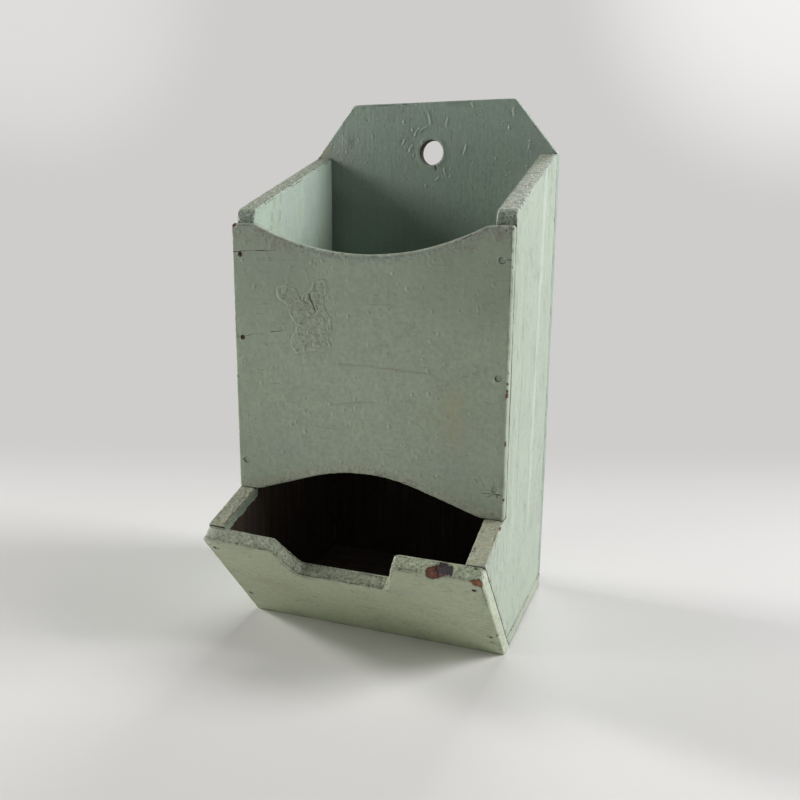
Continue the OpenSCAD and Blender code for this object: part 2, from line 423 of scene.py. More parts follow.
    def on(self, face, reach=0.7, facing=0.25):
        """u and v on the face, and 1 for the vertices that lie on it, 0 for the others."""
        u, v, height = face.at(self.co)
        turned = self.smooth_normal @ face.out
        weight = step_up(turned, facing, facing + 0.3) * step_up(-np.abs(height), -reach, -reach / 2)
        return u, v, weight

    def field(self, name, values, how=np.maximum):
        """Adds values from 0 to 1 to a field that the material reads."""
        old = self.fields.get(name, np.zeros(self.n))
        self.fields[name] = how(old, np.clip(values, 0, 1))

    def crack(self, face, points, width, depth, dark=1.0, fade=0.55, seed=0):
        u, v, weight = self.on(face)
        d, along = from_line(u, v, points)
        near = d < width * 4 + 0.6
        wobble = np.zeros(self.n)
        wobble[near] = layered(self.co[near], 1.1, 50 + seed, 2) * width * 0.9
        uneven = np.ones(self.n)
        uneven[near] = np.clip(0.8 + 0.9 * layered(self.co[near], 4.0, 60 + seed, 2), 0.15, 1)
        gone = (1 - step_up(along, fade, 1.0)) * uneven
        shape = bell(np.maximum(d + wobble, 0), width) * weight * gone
        self.lift -= depth * shape
        self.field("grime", dark * bell(d + wobble, width * 1.25) * weight * np.sqrt(gone))

    def wrinkle(self, face, points, width, height, seed=0):
        """A raised line in the paint film, with a faint hollow beside it."""
        u, v, weight = self.on(face)
        d, along = from_line(u, v, points)
        near = d < width * 5
        wobble = np.zeros(self.n)
        wobble[near] = layered(self.co[near], 1.6, 80 + seed, 2) * width * 0.7
        ends = step_up(along, -0.01, 0.15) * (1 - step_up(along, 0.85, 1.01)) * 0.8 + 0.2
        self.lift += height * bell(d + wobble, width) * weight * ends
        self.lift -= 0.3 * height * bell(d + wobble - 2.2 * width, width) * weight * ends

    def dent(self, face, u0, v0, radius, depth, dark=0.0):
        """A hollow, or a bump where depth is below 0."""
        u, v, weight = self.on(face)
        d = np.hypot(u - u0, v - v0)
        near = d < radius * 3
        wobble = np.zeros(self.n)
        wobble[near] = layered(self.co[near], radius * 1.3, 7, 2) * radius * 0.3
        self.lift -= depth * bell(d + wobble, radius) * weight
        if dark:
            self.field("grime", dark * bell(d + wobble, radius * 0.8) * weight)

    def stain(self, name, face, points, width, strength, ragged=0.5, size=2.0, seed=0):
        """A soft mark of one of the material's colours."""
        u, v, weight = self.on(face)
        d, _ = from_line(u, v, points)
        d = d * (1 + ragged * layered(self.co, size, 200 + seed, 3))
        self.field(name, strength * bell(d, width) * weight)

    def chip(self, centre, radii, depth, seed=0, turn=None, bare=1.0):
        """Flaked paint: everything within ragged reach of a point, radii mm along X, Y and Z."""
        away = self.co - np.array(centre)
        if turn is not None:
            away = np.stack([away @ turn.across, away @ turn.up, away @ turn.out], 1)
        d = np.linalg.norm(away / np.array(radii), axis=1)
        near = d < 2
        d[near] += layered(self.co[near], min(radii) * 1.1, 300 + seed, 3) * 0.55
        size = min(radii)
        share = 1 - step_up(d, 1 - 0.07 / size, 1 + 0.07 / size)
        self.lift -= depth * share
        self.field("chip", share * bare)
        self.field("grime", 0.5 * bell((d - 1.08) * size, 0.12) * near)


def worn(board, rounding):
    """Rounds the arrises: more where they stand free, less and unevenly along the seams."""
    free = step_up(board.meeting, 0.15, 0.9)
    rounds = board.relaxed(board.co, rounding)
    even = layered(board.co, 7.0, 11, 3)
    amount = (0.50 + 0.55 * free) * (1 + 0.45 * even)
    nick = step_up(layered(board.co, 2.4, 17, 2), 0.50, 0.85) * free
    amount += 1.1 * nick
    base = board.co + (rounds - board.co) * amount[:, None]
    board.sharp = step_up(-board.edge, -0.55, -0.05)
    board.base = base


ROUNDING = {"front_panel": 0.21, "tray_front": 0.24}
ROUGHNESS = {"front_panel": 0.030, "tray_front": 0.030, "right_side": 0.020}


def weather(board, seed):
    """Long soft unevenness, thicker and thinner paint, dirt along the arrises, and dirt with painted shade along the
    seams.
    """
    p = board.co
    board.lift += 0.07 * layered(p, 24, seed, 2) + 0.028 * layered(p, 5.5, seed + 1, 2)
    board.lift += ROUGHNESS.get(board.name, 0.012) * layered(p, 1.6, seed + 2, 2)
    dirt = layered(p, 3.0, seed + 3, 3)
    # Dark along the seams: dirt in the joints, and painted shade where the boards meet
    seam = bell(board.meeting, 0.26) * step_up(dirt, -0.75, -0.15)
    seam *= step_up(-board.edge, -1.4, -0.5)
    board.field("grime", seam)
    wobble = layered(p, 1.4, seed + 6, 2)
    broken = step_up(layered(p, 5.5, seed + 7, 3), 0.0, 0.3)
    beside = bell(board.edge - 0.55 - 0.16 * wobble, 0.16)
    board.field("grime", 0.75 * beside * broken)
    near = step_up(-board.edge, -2.6, -0.3)
    board.field("grime", near * 0.65 * step_up(layered(p, 1.6, seed + 4, 3), 0.34, 0.62))
    rubbed = board.sharp * step_up(layered(p, 4.5, seed + 8, 3), 0.12, 0.35)
    board.field("khaki", rubbed)
    board.field("shade", 0.7 * near * step_up(layered(p, 3.6, seed + 9, 3), 0.05, 0.45))
    board.field("pale", board.sharp * (0.55 + 0.5 * layered(p, 5.0, seed + 5, 3)))


def scattered(seed, count, low, high, sizes):
    """Places, radii and heights of pimples in the paint, all in mm."""
    draw = np.random.default_rng(seed)
    places = draw.random((count, 2)) * (np.array(high) - low) + low
    radii = sizes[0] + (sizes[1] - sizes[0]) * draw.random(count) ** 2
    return np.column_stack([places, radii, radii * (0.40 + 0.25 * draw.random(count))])


PIMPLES = {
    "front_panel": (PANEL, scattered(21, 150, (-38, 53), (38, 119), (0.26, 0.50))),
    "back_board": (BACK, scattered(22, 34, (-36, 122), (36, 156), (0.28, 0.46))),
    "tray_front": (TRAY, scattered(23, 36, (-38, 6), (38, 42), (0.26, 0.42))),
    "right_side": (RIGHT, scattered(24, 30, (-14, 30), (32, 125), (0.28, 0.42))),
}


def pimples(board):
    """Small blisters of paint, each with a faint hollow round its foot."""
    if board.name not in PIMPLES:
        return
    face, spots = PIMPLES[board.name]
    u, v, weight = board.on(face)
    for u0, v0, radius, height in spots:
        near = np.flatnonzero((np.abs(u - u0) < radius * 3) & (np.abs(v - v0) < radius * 3))
        d = np.hypot(u[near] - u0, (v[near] - v0) * 0.85) / radius
        board.lift[near] += height * bell(d, 0.85) * weight[near]
        board.lift[near] -= 0.12 * height * bell(d - 1.7, 0.4) * weight[near]


def near_pimples(name):
    face, spots = PIMPLES[name]

    def test(points):
        u, v, height = face.at(points)
        close = np.zeros(len(points), bool)
        for u0, v0, radius, _ in spots:
            reach = radius * 1.7 + 0.15
            close |= (np.abs(u - u0) < reach) & (np.abs(v - v0) < reach)
        return close & (np.abs(height) < 0.8)

    return test


def nail_marks(board):
    """Each nail's hollow in the paint, the crack round its head and what rust runs out."""
    for kind, places in NAIL_PLACES.items():
        for k, (face, u0, v0) in enumerate(places):
            u, v, weight = board.on(face, 0.6)
            d = np.hypot(u - u0, v - v0)
            if not (d < 1.0).any() or not (weight[d < 3] > 0.5).any():
                continue
            bore = 0.62 if (kind, k) in RUSTY else 0.80
            board.lift -= (NAIL_SINK + 0.1) * (1 - step_up(d, bore - 0.16, bore + 0.12)) * weight
            board.lift += 0.05 * bell(d - bore - 0.35, 0.25) * weight
            around = np.arctan2(v - v0, u - u0)
            broken = step_up(np.sin(around * 2 + k * 1.9) + 0.6 * np.sin(around * 5 + k), -0.7, 0.5)
            ring = bell(d - bore, 0.13) * weight
            board.field("grime", ring * (0.30 + 0.70 * broken) * RING_SHOWS.get((kind, k), 1.0))
            rusty = 0.8 if (kind, k) in RUSTY else 0.15
            spread = d * (1 + 0.4 * layered(board.co, 1.2, 40 + k, 3))
            board.field("rust", rusty * bell(spread, 1.0) * weight)


RING_SHOWS = {("front_panel_nails", 3): 0.35}
RUSTY = {("front_panel_nails", 1), ("front_panel_nails", 2), ("tray_front_nails", 3)}


# Marks of the front panel: where (across, up), how wide and how deep, all mm
PATCH = [
    (-26.6, 103.3), (-25.2, 104.0), (-23.4, 104.2), (-20.6, 103.3), (-19.0, 100.8), (-17.1, 102.0),
    (-15.5, 104.0), (-14.6, 105.3), (-12.4, 105.6), (-10.9, 105.3), (-10.9, 103.2), (-12.0, 101.5),
    (-12.0, 99.2), (-11.3, 97.6), (-9.7, 94.6), (-9.9, 92.3), (-10.7, 90.3), (-10.0, 87.8),
    (-12.2, 86.0), (-14.9, 86.7), (-18.7, 85.6), (-20.5, 85.0), (-21.2, 86.5), (-22.2, 88.3),
    (-20.5, 92.3), (-20.8, 94.0), (-22.6, 96.5), (-23.1, 98.5), (-24.5, 99.7), (-26.0, 101.6),
]
PANEL_CRACKS = [
    ([(-40.8, 113.2), (-38.8, 113.1), (-36.8, 113.4), (-29.9, 113.6), (-24.5, 113.8)], 0.08, 0.20),
    ([(-40.6, 88.6), (-38.5, 88.9), (-37.0, 89.2), (-34.3, 90.0), (-29.9, 90.7)], 0.09, 0.24),
    ([(-28.6, 90.9), (-26.0, 91.2), (-22.7, 91.7)], 0.07, 0.10),
    ([(38.7, 112.5), (39.5, 112.6), (40.6, 112.5)], 0.09, 0.2),
    ([(-16.3, 102.0), (-15.9, 100.6), (-15.1, 99.1), (-14.5, 97.4), (-14.2, 96.2)], 0.15, 0.30),
    ([(-19.2, 100.7), (-17.2, 99.6), (-15.6, 98.9)], 0.12, 0.12),
    ([(39.4, 50.7), (37.4, 50.9), (35.0, 50.7), (32.6, 50.9)], 0.10, 0.22),
    ([(37.6, 51.0), (36.4, 51.7), (34.9, 51.9)], 0.08, 0.12),
    ([(37.4, 50.6), (36.2, 49.9), (34.8, 49.8)], 0.08, 0.10),
    ([(38.6, 50.9), (38.5, 49.6)], 0.10, 0.2),
    ([(-39.0, 52.2), (-37.6, 51.9), (-36.7, 51.2)], 0.12, 0.2),
]
PANEL_SCORES = [
    [(2.5, 82.9), (9.3, 82.5), (16.6, 82.0)],
    [(12.5, 74.1), (14.5, 74.3)],
    [(-7.8, 83.0), (4.0, 82.9), (19.2, 82.1)],
    [(-9.4, 71.2), (-3.2, 72.4), (3.0, 73.0)],
    [(-29.1, 75.8), (-26.1, 76.2)],
]
PANEL_CHIPS = [
    ((HALF_W, PANEL_Y, 80.8), (0.5, 0.55, 0.6)),
    ((HALF_W, PANEL_Y, 79.0), (0.45, 0.6, 0.5)),
    ((HALF_W, PANEL_Y, 77.7), (0.75, 0.7, 0.8)),
    ((HALF_W, PANEL_Y, 64.9), (0.5, 0.5, 0.7)),
    ((HALF_W, PANEL_Y, 49.4), (0.45, 0.5, 0.5)),
    ((HALF_W, PANEL_Y, 104.5), (0.35, 0.4, 0.5)),
    ((-HALF_W, PANEL_Y, PANEL_TOP), (1.5, 1.0, 1.1)),
    ((-HALF_W, PANEL_Y, MOUTH_H), (0.7, 0.7, 0.6)),
]


def mark_panel(board):
    u, v, weight = board.on(PANEL)
    p = board.co
    edge = inside(u, v, PATCH) + 0.75 * layered(p, 2.1, 401, 3) + 0.40 * layered(p, 0.9, 403, 2)
    within = step_up(edge, -0.05, 0.40) * weight
    folds = 1 - np.minimum(np.abs(layered(p, 1.3, 402, 3, (1, 1, 1.3))) * 5.0, 1)
    grit = layered(p, 0.62, 404, 2)
    board.lift += within * (0.04 + 0.09 * folds + 0.13 * grit)
    rim = 0.65 + 0.45 * layered(p, 3.0, 405, 2)
    board.lift += 0.19 * bell(edge - 0.10, 0.20) * weight * rim
    board.lift -= 0.06 * bell(edge + 0.40, 0.22) * weight
    board.field("patch", within * (0.6 + 0.4 * folds))
    board.field("pitted", within * 0.36)
    # The raised rim is painted paler and the film just outside it darker: a painted highlight on the rim and painted
    # shade beside it
    board.field("pale", 0.8 * bell(edge - 0.12, 0.17) * weight * rim)
    board.field("grime", 0.40 * within * step_up(-grit, 0.20, 0.5) * (1 - folds))
    board.field("shade", 0.8 * bell(edge + 0.25, 0.16) * weight * rim)
    for k, (points, width, depth) in enumerate(PANEL_CRACKS):
        board.crack(PANEL, points, width, depth, 1.0, 0.55, k)
    for k, points in enumerate(PANEL_SCORES):
        board.stain("score", PANEL, points, 0.20, 0.8, 0.2, 1.5, k)
    for k, (centre, radii) in enumerate(PANEL_CHIPS):
        board.chip(centre, radii, 0.22, k)
    board.dent(PANEL, -37.6, 82.7, 0.7, -0.10)
    board.dent(PANEL, -36.4, 82.2, 0.5, 0.08, 0.3)
    board.dent(PANEL, 0.1, 65.9, 0.75, 0.07)
    board.dent(PANEL, 38.5, 119.8, 0.35, 0.14, 0.9)
    board.dent(PANEL, 39.5, 119.2, 0.28, 0.12, 0.8)
    ring = from_line(u, v, [(0.1, 65.9)])[0]
    board.field("ochre", 0.7 * bell(ring - 0.75, 0.25) * weight)
    board.stain("ochre", PANEL, [(25.7, 74.0), (26.2, 70.0), (25.6, 66.4)], 3.9, 0.85, 0.8, 6.0, 1)
    board.stain("ochre", PANEL, [(18.0, 70.6), (19.5, 69.5)], 2.6, 0.30, 0.8, 6.0, 2)
    top = PANEL_TOP - scoop_drop(u)
    below = top - v
    board.field("bloom", 0.95 * weight * bell(below - 1.25, 0.85) * step_up(v, 100, 108))
    board.field("pale", 0.9 * bell(board.edge - 0.1, 0.28) * step_up(v, 106, 110))
    board.field("shade", 0.65 * weight * bell(below - 0.95, 0.38) * step_up(v, 100, 108))
    board.field("pitted", 0.35 * weight * step_up(-below, -5, -1))
    dots = step_up(layered(p, 1.2, 414, 3), 0.05, 0.45) * weight
    ears = bell(below - 1.0, 3.4) * step_up(np.abs(u), 14, 30)
    board.field("score", 0.75 * dots * ears + 0.25 * ears * weight)
    board.field("grime", 0.55 * step_up(layered(p, 0.9, 415, 2), 0.40, 0.7) * ears * weight)
    arch = v - MOUTH_H - arch_rise(u)
    over_arch = weight * bell(arch - 1.4, 1.4) * step_up(-v, -62, -54)
    board.field("khaki", 0.6 * over_arch * (0.8 + 0.5 * layered(p, 3.0, 416, 3)))
    board.field("pitted", 0.45 * over_arch)
    board.field("bloom", 0.35 * weight * step_up(layered(p, 17, 411, 3), 0.10, 0.5))
    # Painted light and shade: the middle of the panel is painted paler, a painted pool of light, and its upper
    # corners darker, painted shade
    board.field("pale", 0.27 * weight * bell(np.hypot(u - 2, v - 69), 32))
    board.field("shade", 0.34 * weight * step_up(v, 88, 106) * step_up(np.abs(u), 6, 24))
    knots = layered(p, 1.0, 413, 2, (0.8, 1, 1.6))
    board.lift += 0.13 * weight * step_up(knots, 0.42, 0.75)
    speckle = step_up(layered(p, 1.1, 412, 2), 0.25, 0.6)
    board.field("rust", 0.5 * speckle * weight * bell(from_line(u, v, [(-37, 119), (-33, 118.4)])[0], 2.4))


def scoop_drop(x):
    """How far the panel's top edge lies under its corners at x mm from the middle."""
    half = HALF_W - 6.8
    r = (half**2 + 64) / 16
    return np.maximum(np.sqrt(np.maximum(r**2 - x**2, 0)) - (r - 8), 0)


def arch_rise(x):
    """About how far the mouth's arch lies over its corners at x mm from the middle."""
    return 8.4 * np.clip(1 - (np.abs(x) / (HALF_W - 6.6)) ** 1.6, 0, 1)


BACK_WRINKLES = [
    [(-1.1, 155.7), (-0.6, 153.9), (-0.2, 152.0)],
    [(-5.8, 148.3), (-5.2, 149.8), (-3.9, 151.3)],
    [(-4.4, 149.5), (-3.1, 150.7), (-1.1, 151.5)],
    [(-9.1, 147.8), (-9.8, 146.1)],
    [(-7.6, 143.5), (-7.0, 144.9), (-6.1, 146.0)],
    [(-6.5, 151.0), (-6.4, 150.1)],
    [(-2.9, 146.9), (-3.1, 145.7)],
    [(4.5, 138.7), (4.7, 137.4), (5.4, 136.1)],
    [(1.6, 134.7), (2.8, 135.8)],
    [(11.8, 145.6), (11.3, 144.0), (10.6, 142.5)],
    [(5.4, 153.9), (5.0, 152.3), (5.1, 151.1)],
    [(26.7, 156.3), (26.3, 155.1), (26.8, 153.7)],
    [(31.9, 145.2), (31.6, 143.6)],
    [(13.2, 158.1), (13.7, 157.1)],
]
BACK_PITS = [
    (-22.2, 154.0), (-15.8, 152.5), (-21.4, 143.0), (-1.7, 135.0), (-8.2, 135.3), (-32.6, 143.0),
    (-29.7, 139.7), (14.2, 132.5), (20.2, 137.2), (9.0, 128.0), (-14.0, 128.5),
]


def mark_back(board):
    for k, points in enumerate(BACK_WRINKLES):
        board.wrinkle(BACK, points, 0.32, 0.16, k)
    board.crack(BACK, [(1.3, 139.3), (1.6, 138.3), (1.9, 137.3)], 0.18, 0.2)
    board.dent(BACK, -29.7, 147.6, 1.5, -0.20)
    board.dent(BACK, -27.0, 147.0, 1.0, 0.10)
    board.dent(BACK, -10.2, 147.2, 0.7, 0.10, 0.4)
    for x, z in BACK_PITS:
        board.dent(BACK, x, z, 0.34, 0.10, 0.55)
    u, v, weight = board.on(BACK)
    # Painted shadow: the face inside the box is painted darker below a slanting line, where the left side's shadow
    # falls, and darker still towards the lower left
    low = step_up(-v - 0.53 * u, -125, -111) * (0.75 + 0.3 * layered(board.co, 14, 422, 3))
    low *= weight * step_up(-np.abs(u), -INSIDE_X - 0.1, -INSIDE_X + 0.5)
    board.field("shade", 0.8 * low)
    board.field("grime", 0.45 * low * step_up(-u, 14, 34))
    hole = np.hypot(u, v - 143.5)
    # The hole's wall: unpainted wood, with painted shade over it
    wall = (hole < 4.8) * step_up(-np.abs(board.cad_normal[:, 1]), -0.75, -0.45)
    board.field("bare", wall * (0.75 + 0.3 * layered(board.co, 1.5, 423, 2)))
    board.field("grime", 0.6 * wall)
    board.lift += 0.10 * bell(hole - 4.6, 0.5) * weight
    board.field("pale", 0.5 * bell(hole - 4.1, 0.3) * weight)
    board.field("bloom", 0.55 * weight * step_up(layered(board.co, 8, 421, 3, (1, 1, 4)), 0.05, 0.5))
    board.field("khaki", bell(from_line(u, v, [(-38.5, 143.4), (-36.8, 145.0)])[0], 1.3) * weight)


def mark_left(board):
    brown = [
        [(-5.2, 123.4), (-5.4, 121.6)], [(0.4, 129.3), (0.2, 127.6)],
        [(-0.3, 124.3), (-0.6, 122.0)], [(-5.8, 119.9), (-5.9, 118.4)],
    ]
    for k, points in enumerate(brown):
        board.crack(LEFT_INSIDE, points, 0.20, 0.10, 0.35, 0.7, k)
        board.stain("score", LEFT_INSIDE, points, 0.55, 0.6, 0.9, 1.2, k)
    u, v, weight = board.on(LEFT_INSIDE)
    high = step_up(v, 72, 92)
    # The upper inside face is painted a lighter, cooler green: partly its paint, partly painted light where this face
    # is lit
    board.field("cool", weight * high * (0.55 + 0.35 * layered(board.co, 6, 441, 3, (1, 1, 2.5))))
    board.field("bloom", 0.8 * weight * step_up(layered(board.co, 5, 442, 3, (1, 1, 4)), 0.10, 0.5))
    streaks = [[(17.1, 138.0), (17.1, 126.0)], [(20.5, 136.0), (20.6, 120.0)]]
    for k, points in enumerate(streaks):
        board.stain("bloom", LEFT_INSIDE, points, 1.5, 0.9, 0.7, 3.0, k)
    nicks = [(10.7, 133.6), (6.4, 132.1), (3.2, 131.0), (-8.3, 127.2), (-13.7, 125.4)]
    for k, (y, z) in enumerate(nicks):
        board.chip((-INSIDE_X, y, z), (0.5, 1.3, 0.45), 0.18, 20 + k, None, 0.3)
    mark_ends(board, -1)


def mark_right(board):
    lines = [
        ([(-12.4, 124.0), (-12.6, 90.0), (-12.3, 57.0)], 0.10, 0.05, 0.30),
        ([(-3.0, 108.0), (-3.4, 92.0), (-2.9, 80.0), (-3.6, 62.0), (-3.3, 48.0), (-4.0, 33.0)], 0.14, 0.14, 0.85),
        ([(17.0, 120.0), (16.6, 90.0), (16.0, 55.0)], 0.12, 0.05, 0.25),
        ([(27.4, 132.0), (27.0, 70.0), (27.2, 30.0)], 0.12, 0.05, 0.2),
    ]
    for k, (points, width, depth, dark) in enumerate(lines):
        board.crack(RIGHT, points, width, depth, dark, 0.8, 30 + k)
    bands = (
        ("pale", 20.0, 14.0, 1.2, 0.35), ("bloom", 17.0, 12.0, 1.0, 0.4), ("bloom", 31.0, 31.0, 1.5, 0.2),
        ("cool", 21.0, 13.5, 1.5, 0.40), ("cool", 6.0, 4.0, 0.9, 0.20), ("cool", -7.0, -9.0, 1.0, 0.20),
    )
    for k, (kind, top, foot, width, strength) in enumerate(bands):
        board.stain(kind, RIGHT, [(top, 138.0), (foot, 30.0)], width, strength, 0.9, 9.0, 60 + k)
    pits = [(16.4, 116.2), (16.2, 101.1), (14.0, 68.5), (-23.6, 30.3), (-19.5, 28.6), (-22.4, 28.4)]
    for y, z in pits:
        board.dent(RIGHT, y, z, 0.36, 0.14, 0.8)
    scribbles = [
        [(6.0, 41.0), (7.2, 36.0), (6.4, 31.0)],
        [(9.0, 40.0), (8.4, 34.0)],
        [(11.5, 38.5), (12.4, 33.5), (11.2, 30.0)],
        [(14.0, 36.5), (14.6, 32.5)],
    ]
    for k, points in enumerate(scribbles):
        board.crack(RIGHT, points, 0.16, 0.08, 0.35, 0.9, 40 + k)
    for k, (y, z) in enumerate([(-13.1, 125.4), (-7.9, 127.2), (-10.4, 126.3)]):
        board.chip((HALF_W, y, z), (0.45, 0.7, 0.4), 0.25, 50 + k, None, 0.25)
    board.chip((HALF_W, -22.0, 42.5), (0.5, 0.8, 0.6), 0.22, 55)
    u, v, weight = board.on(RIGHT)
    rubs = (
        (-13, 105, 6, 20, 0.30), (-10, 62, 6, 20, 0.35), (10, 36, 8, 10, 0.5),
        (-26, 25, 7, 12, 0.6), (4, 104, 5, 9, 0.45), (28, 128, 4, 10, 0.3),
    )
    for y, z, width, height, strength in rubs:
        d = np.hypot((u - y) / width, (v - z) / height)
        board.field("scuffed", strength * weight * bell(d + 0.5 * layered(board.co, 6, 443, 3), 0.9))
    board.crack(SIDE_TOP, [(37.0, 14.6), (37.9, 15.2), (39.4, 15.0)], 0.14, 0.1, 0.7)
    mark_ends(board, 1)


def mark_ends(board, side):
    """The cut ends of a side's grain, which took the paint badly: khaki and rough."""
    p = board.co
    x, along, top = board.on(SIDE_TOP)
    inward = HALF_W - side * x
    border = inward - 0.6 - 0.8 * layered(p, 3.0, 431, 3)
    blotch = layered(p, 2.2, 432, 3)
    board.field("khaki", top * step_up(border, -0.3, 0.5) * (0.65 + 0.5 * blotch))
    board.field("bloom", top * 0.7 * step_up(layered(p, 2.6, 433, 3), 0.05, 0.4))
    board.field("shade", top * (0.25 + 0.5 * step_up(layered(p, 1.7, 440, 3), 0.0, 0.4)))
    board.field("pitted", top * (0.75 + 0.5 * blotch))
    board.lift += top * 0.07 * layered(p, 0.75, 434, 2)
    _, _, cheek = board.on(CHEEK)
    board.field("khaki", cheek * (0.95 + 0.4 * blotch))
    board.field("ochre", cheek * 0.7 * step_up(layered(p, 1.8, 435, 3), 0.05, 0.5))
    board.field("shade", cheek * 0.3 * step_up(layered(p, 2.5, 442, 3), 0.1, 0.5))
    board.field("pitted", cheek * ((0.75 if side < 0 else 0.5) + 0.4 * blotch))
    board.lift += cheek * 0.10 * layered(p, 0.85, 437, 2)
    _, z, end = board.on(SIDE_END)
    end = end * step_up(z, PANEL_TOP - 1, PANEL_TOP)
    board.field("shade", end * (0.9 + 0.3 * layered(p, 1.6, 438, 3)))
    board.field("pitted", end)
    board.field("khaki", end * 0.4 * step_up(blotch, 0.1, 0.5))
    board.lift += end * 0.08 * layered(p, 0.7, 439, 2)
    if side < 0:
        board.field("ochre", cheek * bell(p[:, 1] + 36.0, 2.2) * 0.9)
    chips = [(36.0, -24.1, 42.0), (35.9, -30.9, 39.7)]
    for k, (cx, cy, cz) in enumerate(chips):
        board.chip((side * cx, cy, cz), (0.3, 0.5, 0.35), 0.12, 60 + k, None, 0.6)


def mark_tray(board):
    p = board.co
    depth = LIP.at(p)[1]
    lip = step_up(-np.abs(board.smooth_normal @ TRAY.out), -0.75, -0.45) * (p[:, 2] > 15)
    lip *= (np.abs(p[:, 0]) < HALF_W - 0.4) | (board.smooth_normal @ LIP.out > 0.3)
    _, s, face = board.on(TRAY)
    rough = layered(p, 0.85, 441, 3)
    front = bell(depth - 0.35, 0.8) * lip
    board.lift += lip * 0.11 * rough
    board.field("pitted", lip * (0.8 + 0.4 * rough) + 0.7 * front)
    left = step_up(-p[:, 0], -8, 4)
    board.field("shade", lip * (0.45 + 0.1 * left + 0.6 * layered(p, 2.5, 442, 3)) + 0.6 * front)
    board.field("khaki", (0.6 - 0.4 * left) * lip * step_up(layered(p, 3.0, 443, 3), -0.1, 0.4))
    board.field("bloom", left * lip * (0.8 + 0.4 * layered(p, 2.0, 454, 2)))
    board.field("grime", 0.5 * lip * step_up(-rough, 0.30, 0.6))
    board.field("grime", 0.8 * bell(depth - 0.2, 0.3) * lip * step_up(layered(p, 2.4, 452, 3), -0.1, 0.25))
    board.field("bloom", 0.7 * front * step_up(layered(p, 2.0, 449, 3), 0.0, 0.4))
    upper = face * step_up(s, 35.0, 45.2)
    board.field("grime", 0.6 * upper * step_up(layered(p, 1.2, 445, 3), 0.30, 0.62))
    board.field("shade", 0.7 * face * step_up(s, 42.5, 45.2) * (0.5 + layered(p, 3.0, 450, 3)))
    board.field("bloom", 0.6 * upper * step_up(layered(p, 4.0, 446, 3), -0.1, 0.4))
    worn_corner = bell(p[:, 0] + 39.5, 2.4) * np.maximum(lip, upper)
    board.field("pale", worn_corner * (0.8 + 0.6 * layered(p, 1.2, 447, 2)))
    board.lift += 0.06 * face * step_up(layered(p, 1.3, 451, 2, (1.6, 1, 1)), 0.35, 0.7)
    cut = (np.abs(board.cad_normal[:, 0]) > 0.7) & (np.abs(p[:, 0]) > HALF_W - 0.5)
    board.field("pale", 0.75 * cut)
    board.field("bloom", 0.8 * cut * step_up(layered(p, 2.5, 453, 3), -0.1, 0.3))
    board.field("pitted", 0.5 * cut)
    # The two flaked places at the right of the lip
    turn = Face((0, 0, 0), X, (0, COS, SIN))
    front = np.array([0, LIP_FRONT[0], LIP_FRONT[1]])
    board.chip(front + (27.4, 0, 0), (1.9, 2.6, 1.8), 0.30, 71, turn)
    board.chip(front + (30.0, 1.5, 1.25), (2.3, 1.9, 0.9), 0.26, 72, turn)
    board.chip(front + (39.3, 0, 0), (1.7, 0.9, 2.2), 0.30, 73, turn)
    board.field("fresh", step_up(p[:, 0], 34, 35))
    board.chip(front + (37.7, -0.2, -0.25), (0.9, 0.5, 0.6), 0.22, 74, turn)
    dark = face * 0 + (p[:, 0] > 28.6) * step_up(depth, 0.4, 1.2) * lip
    board.field("soot", dark)
    for x, where, size in ((18.7, 45.0, 0.55), (40.0, 35.5, 0.4), (40.1, 13.6, 0.4), (40.1, 25.9, 0.3)):
        board.dent(TRAY, x, where, size, 0.25, 1.0)
    for x, where, size in ((-19.8, 45.2, 0.6), (-24.6, 45.0, 0.4), (-39.1, 41.8, 0.45)):
        board.dent(TRAY, x, where, size, 0.25, 0.9)
    board.dent(LIP, 38.1, 3.6, 0.5, 0.2, 1.0)
    board.crack(TRAY, [(37.3, 8.1), (39.2, 7.5)], 0.14, 0.12)
    board.crack(TRAY, [(-30.0, 30.4), (-27.8, 30.6), (-25.6, 30.5)], 0.13, 0.08, 0.5)
    board.stain("score", TRAY, [(-24.0, 26.0), (-21.0, 25.6)], 0.25, 0.7, 0.2, 1.5, 9)
    board.stain("bloom", TRAY, [(13.0, 33.5), (19.0, 31.5)], 2.2, 0.6, 0.8, 3.0, 5)
    board.field("ochre", 0.55 * face * step_up(layered(p, 9.0, 448, 3, (1.6, 1, 1)), 0.15, 0.6))


def mark_bottom(board):
    u, v, weight = board.on(UNDER)
    board.field("wood", weight * step_up(layered(board.co, 14, 451, 3, (1, 2, 1)), -0.75, 0.1))
    board.field("grime", weight * 0.6 * step_up(layered(board.co, 6, 452, 3), 0.2, 0.6))


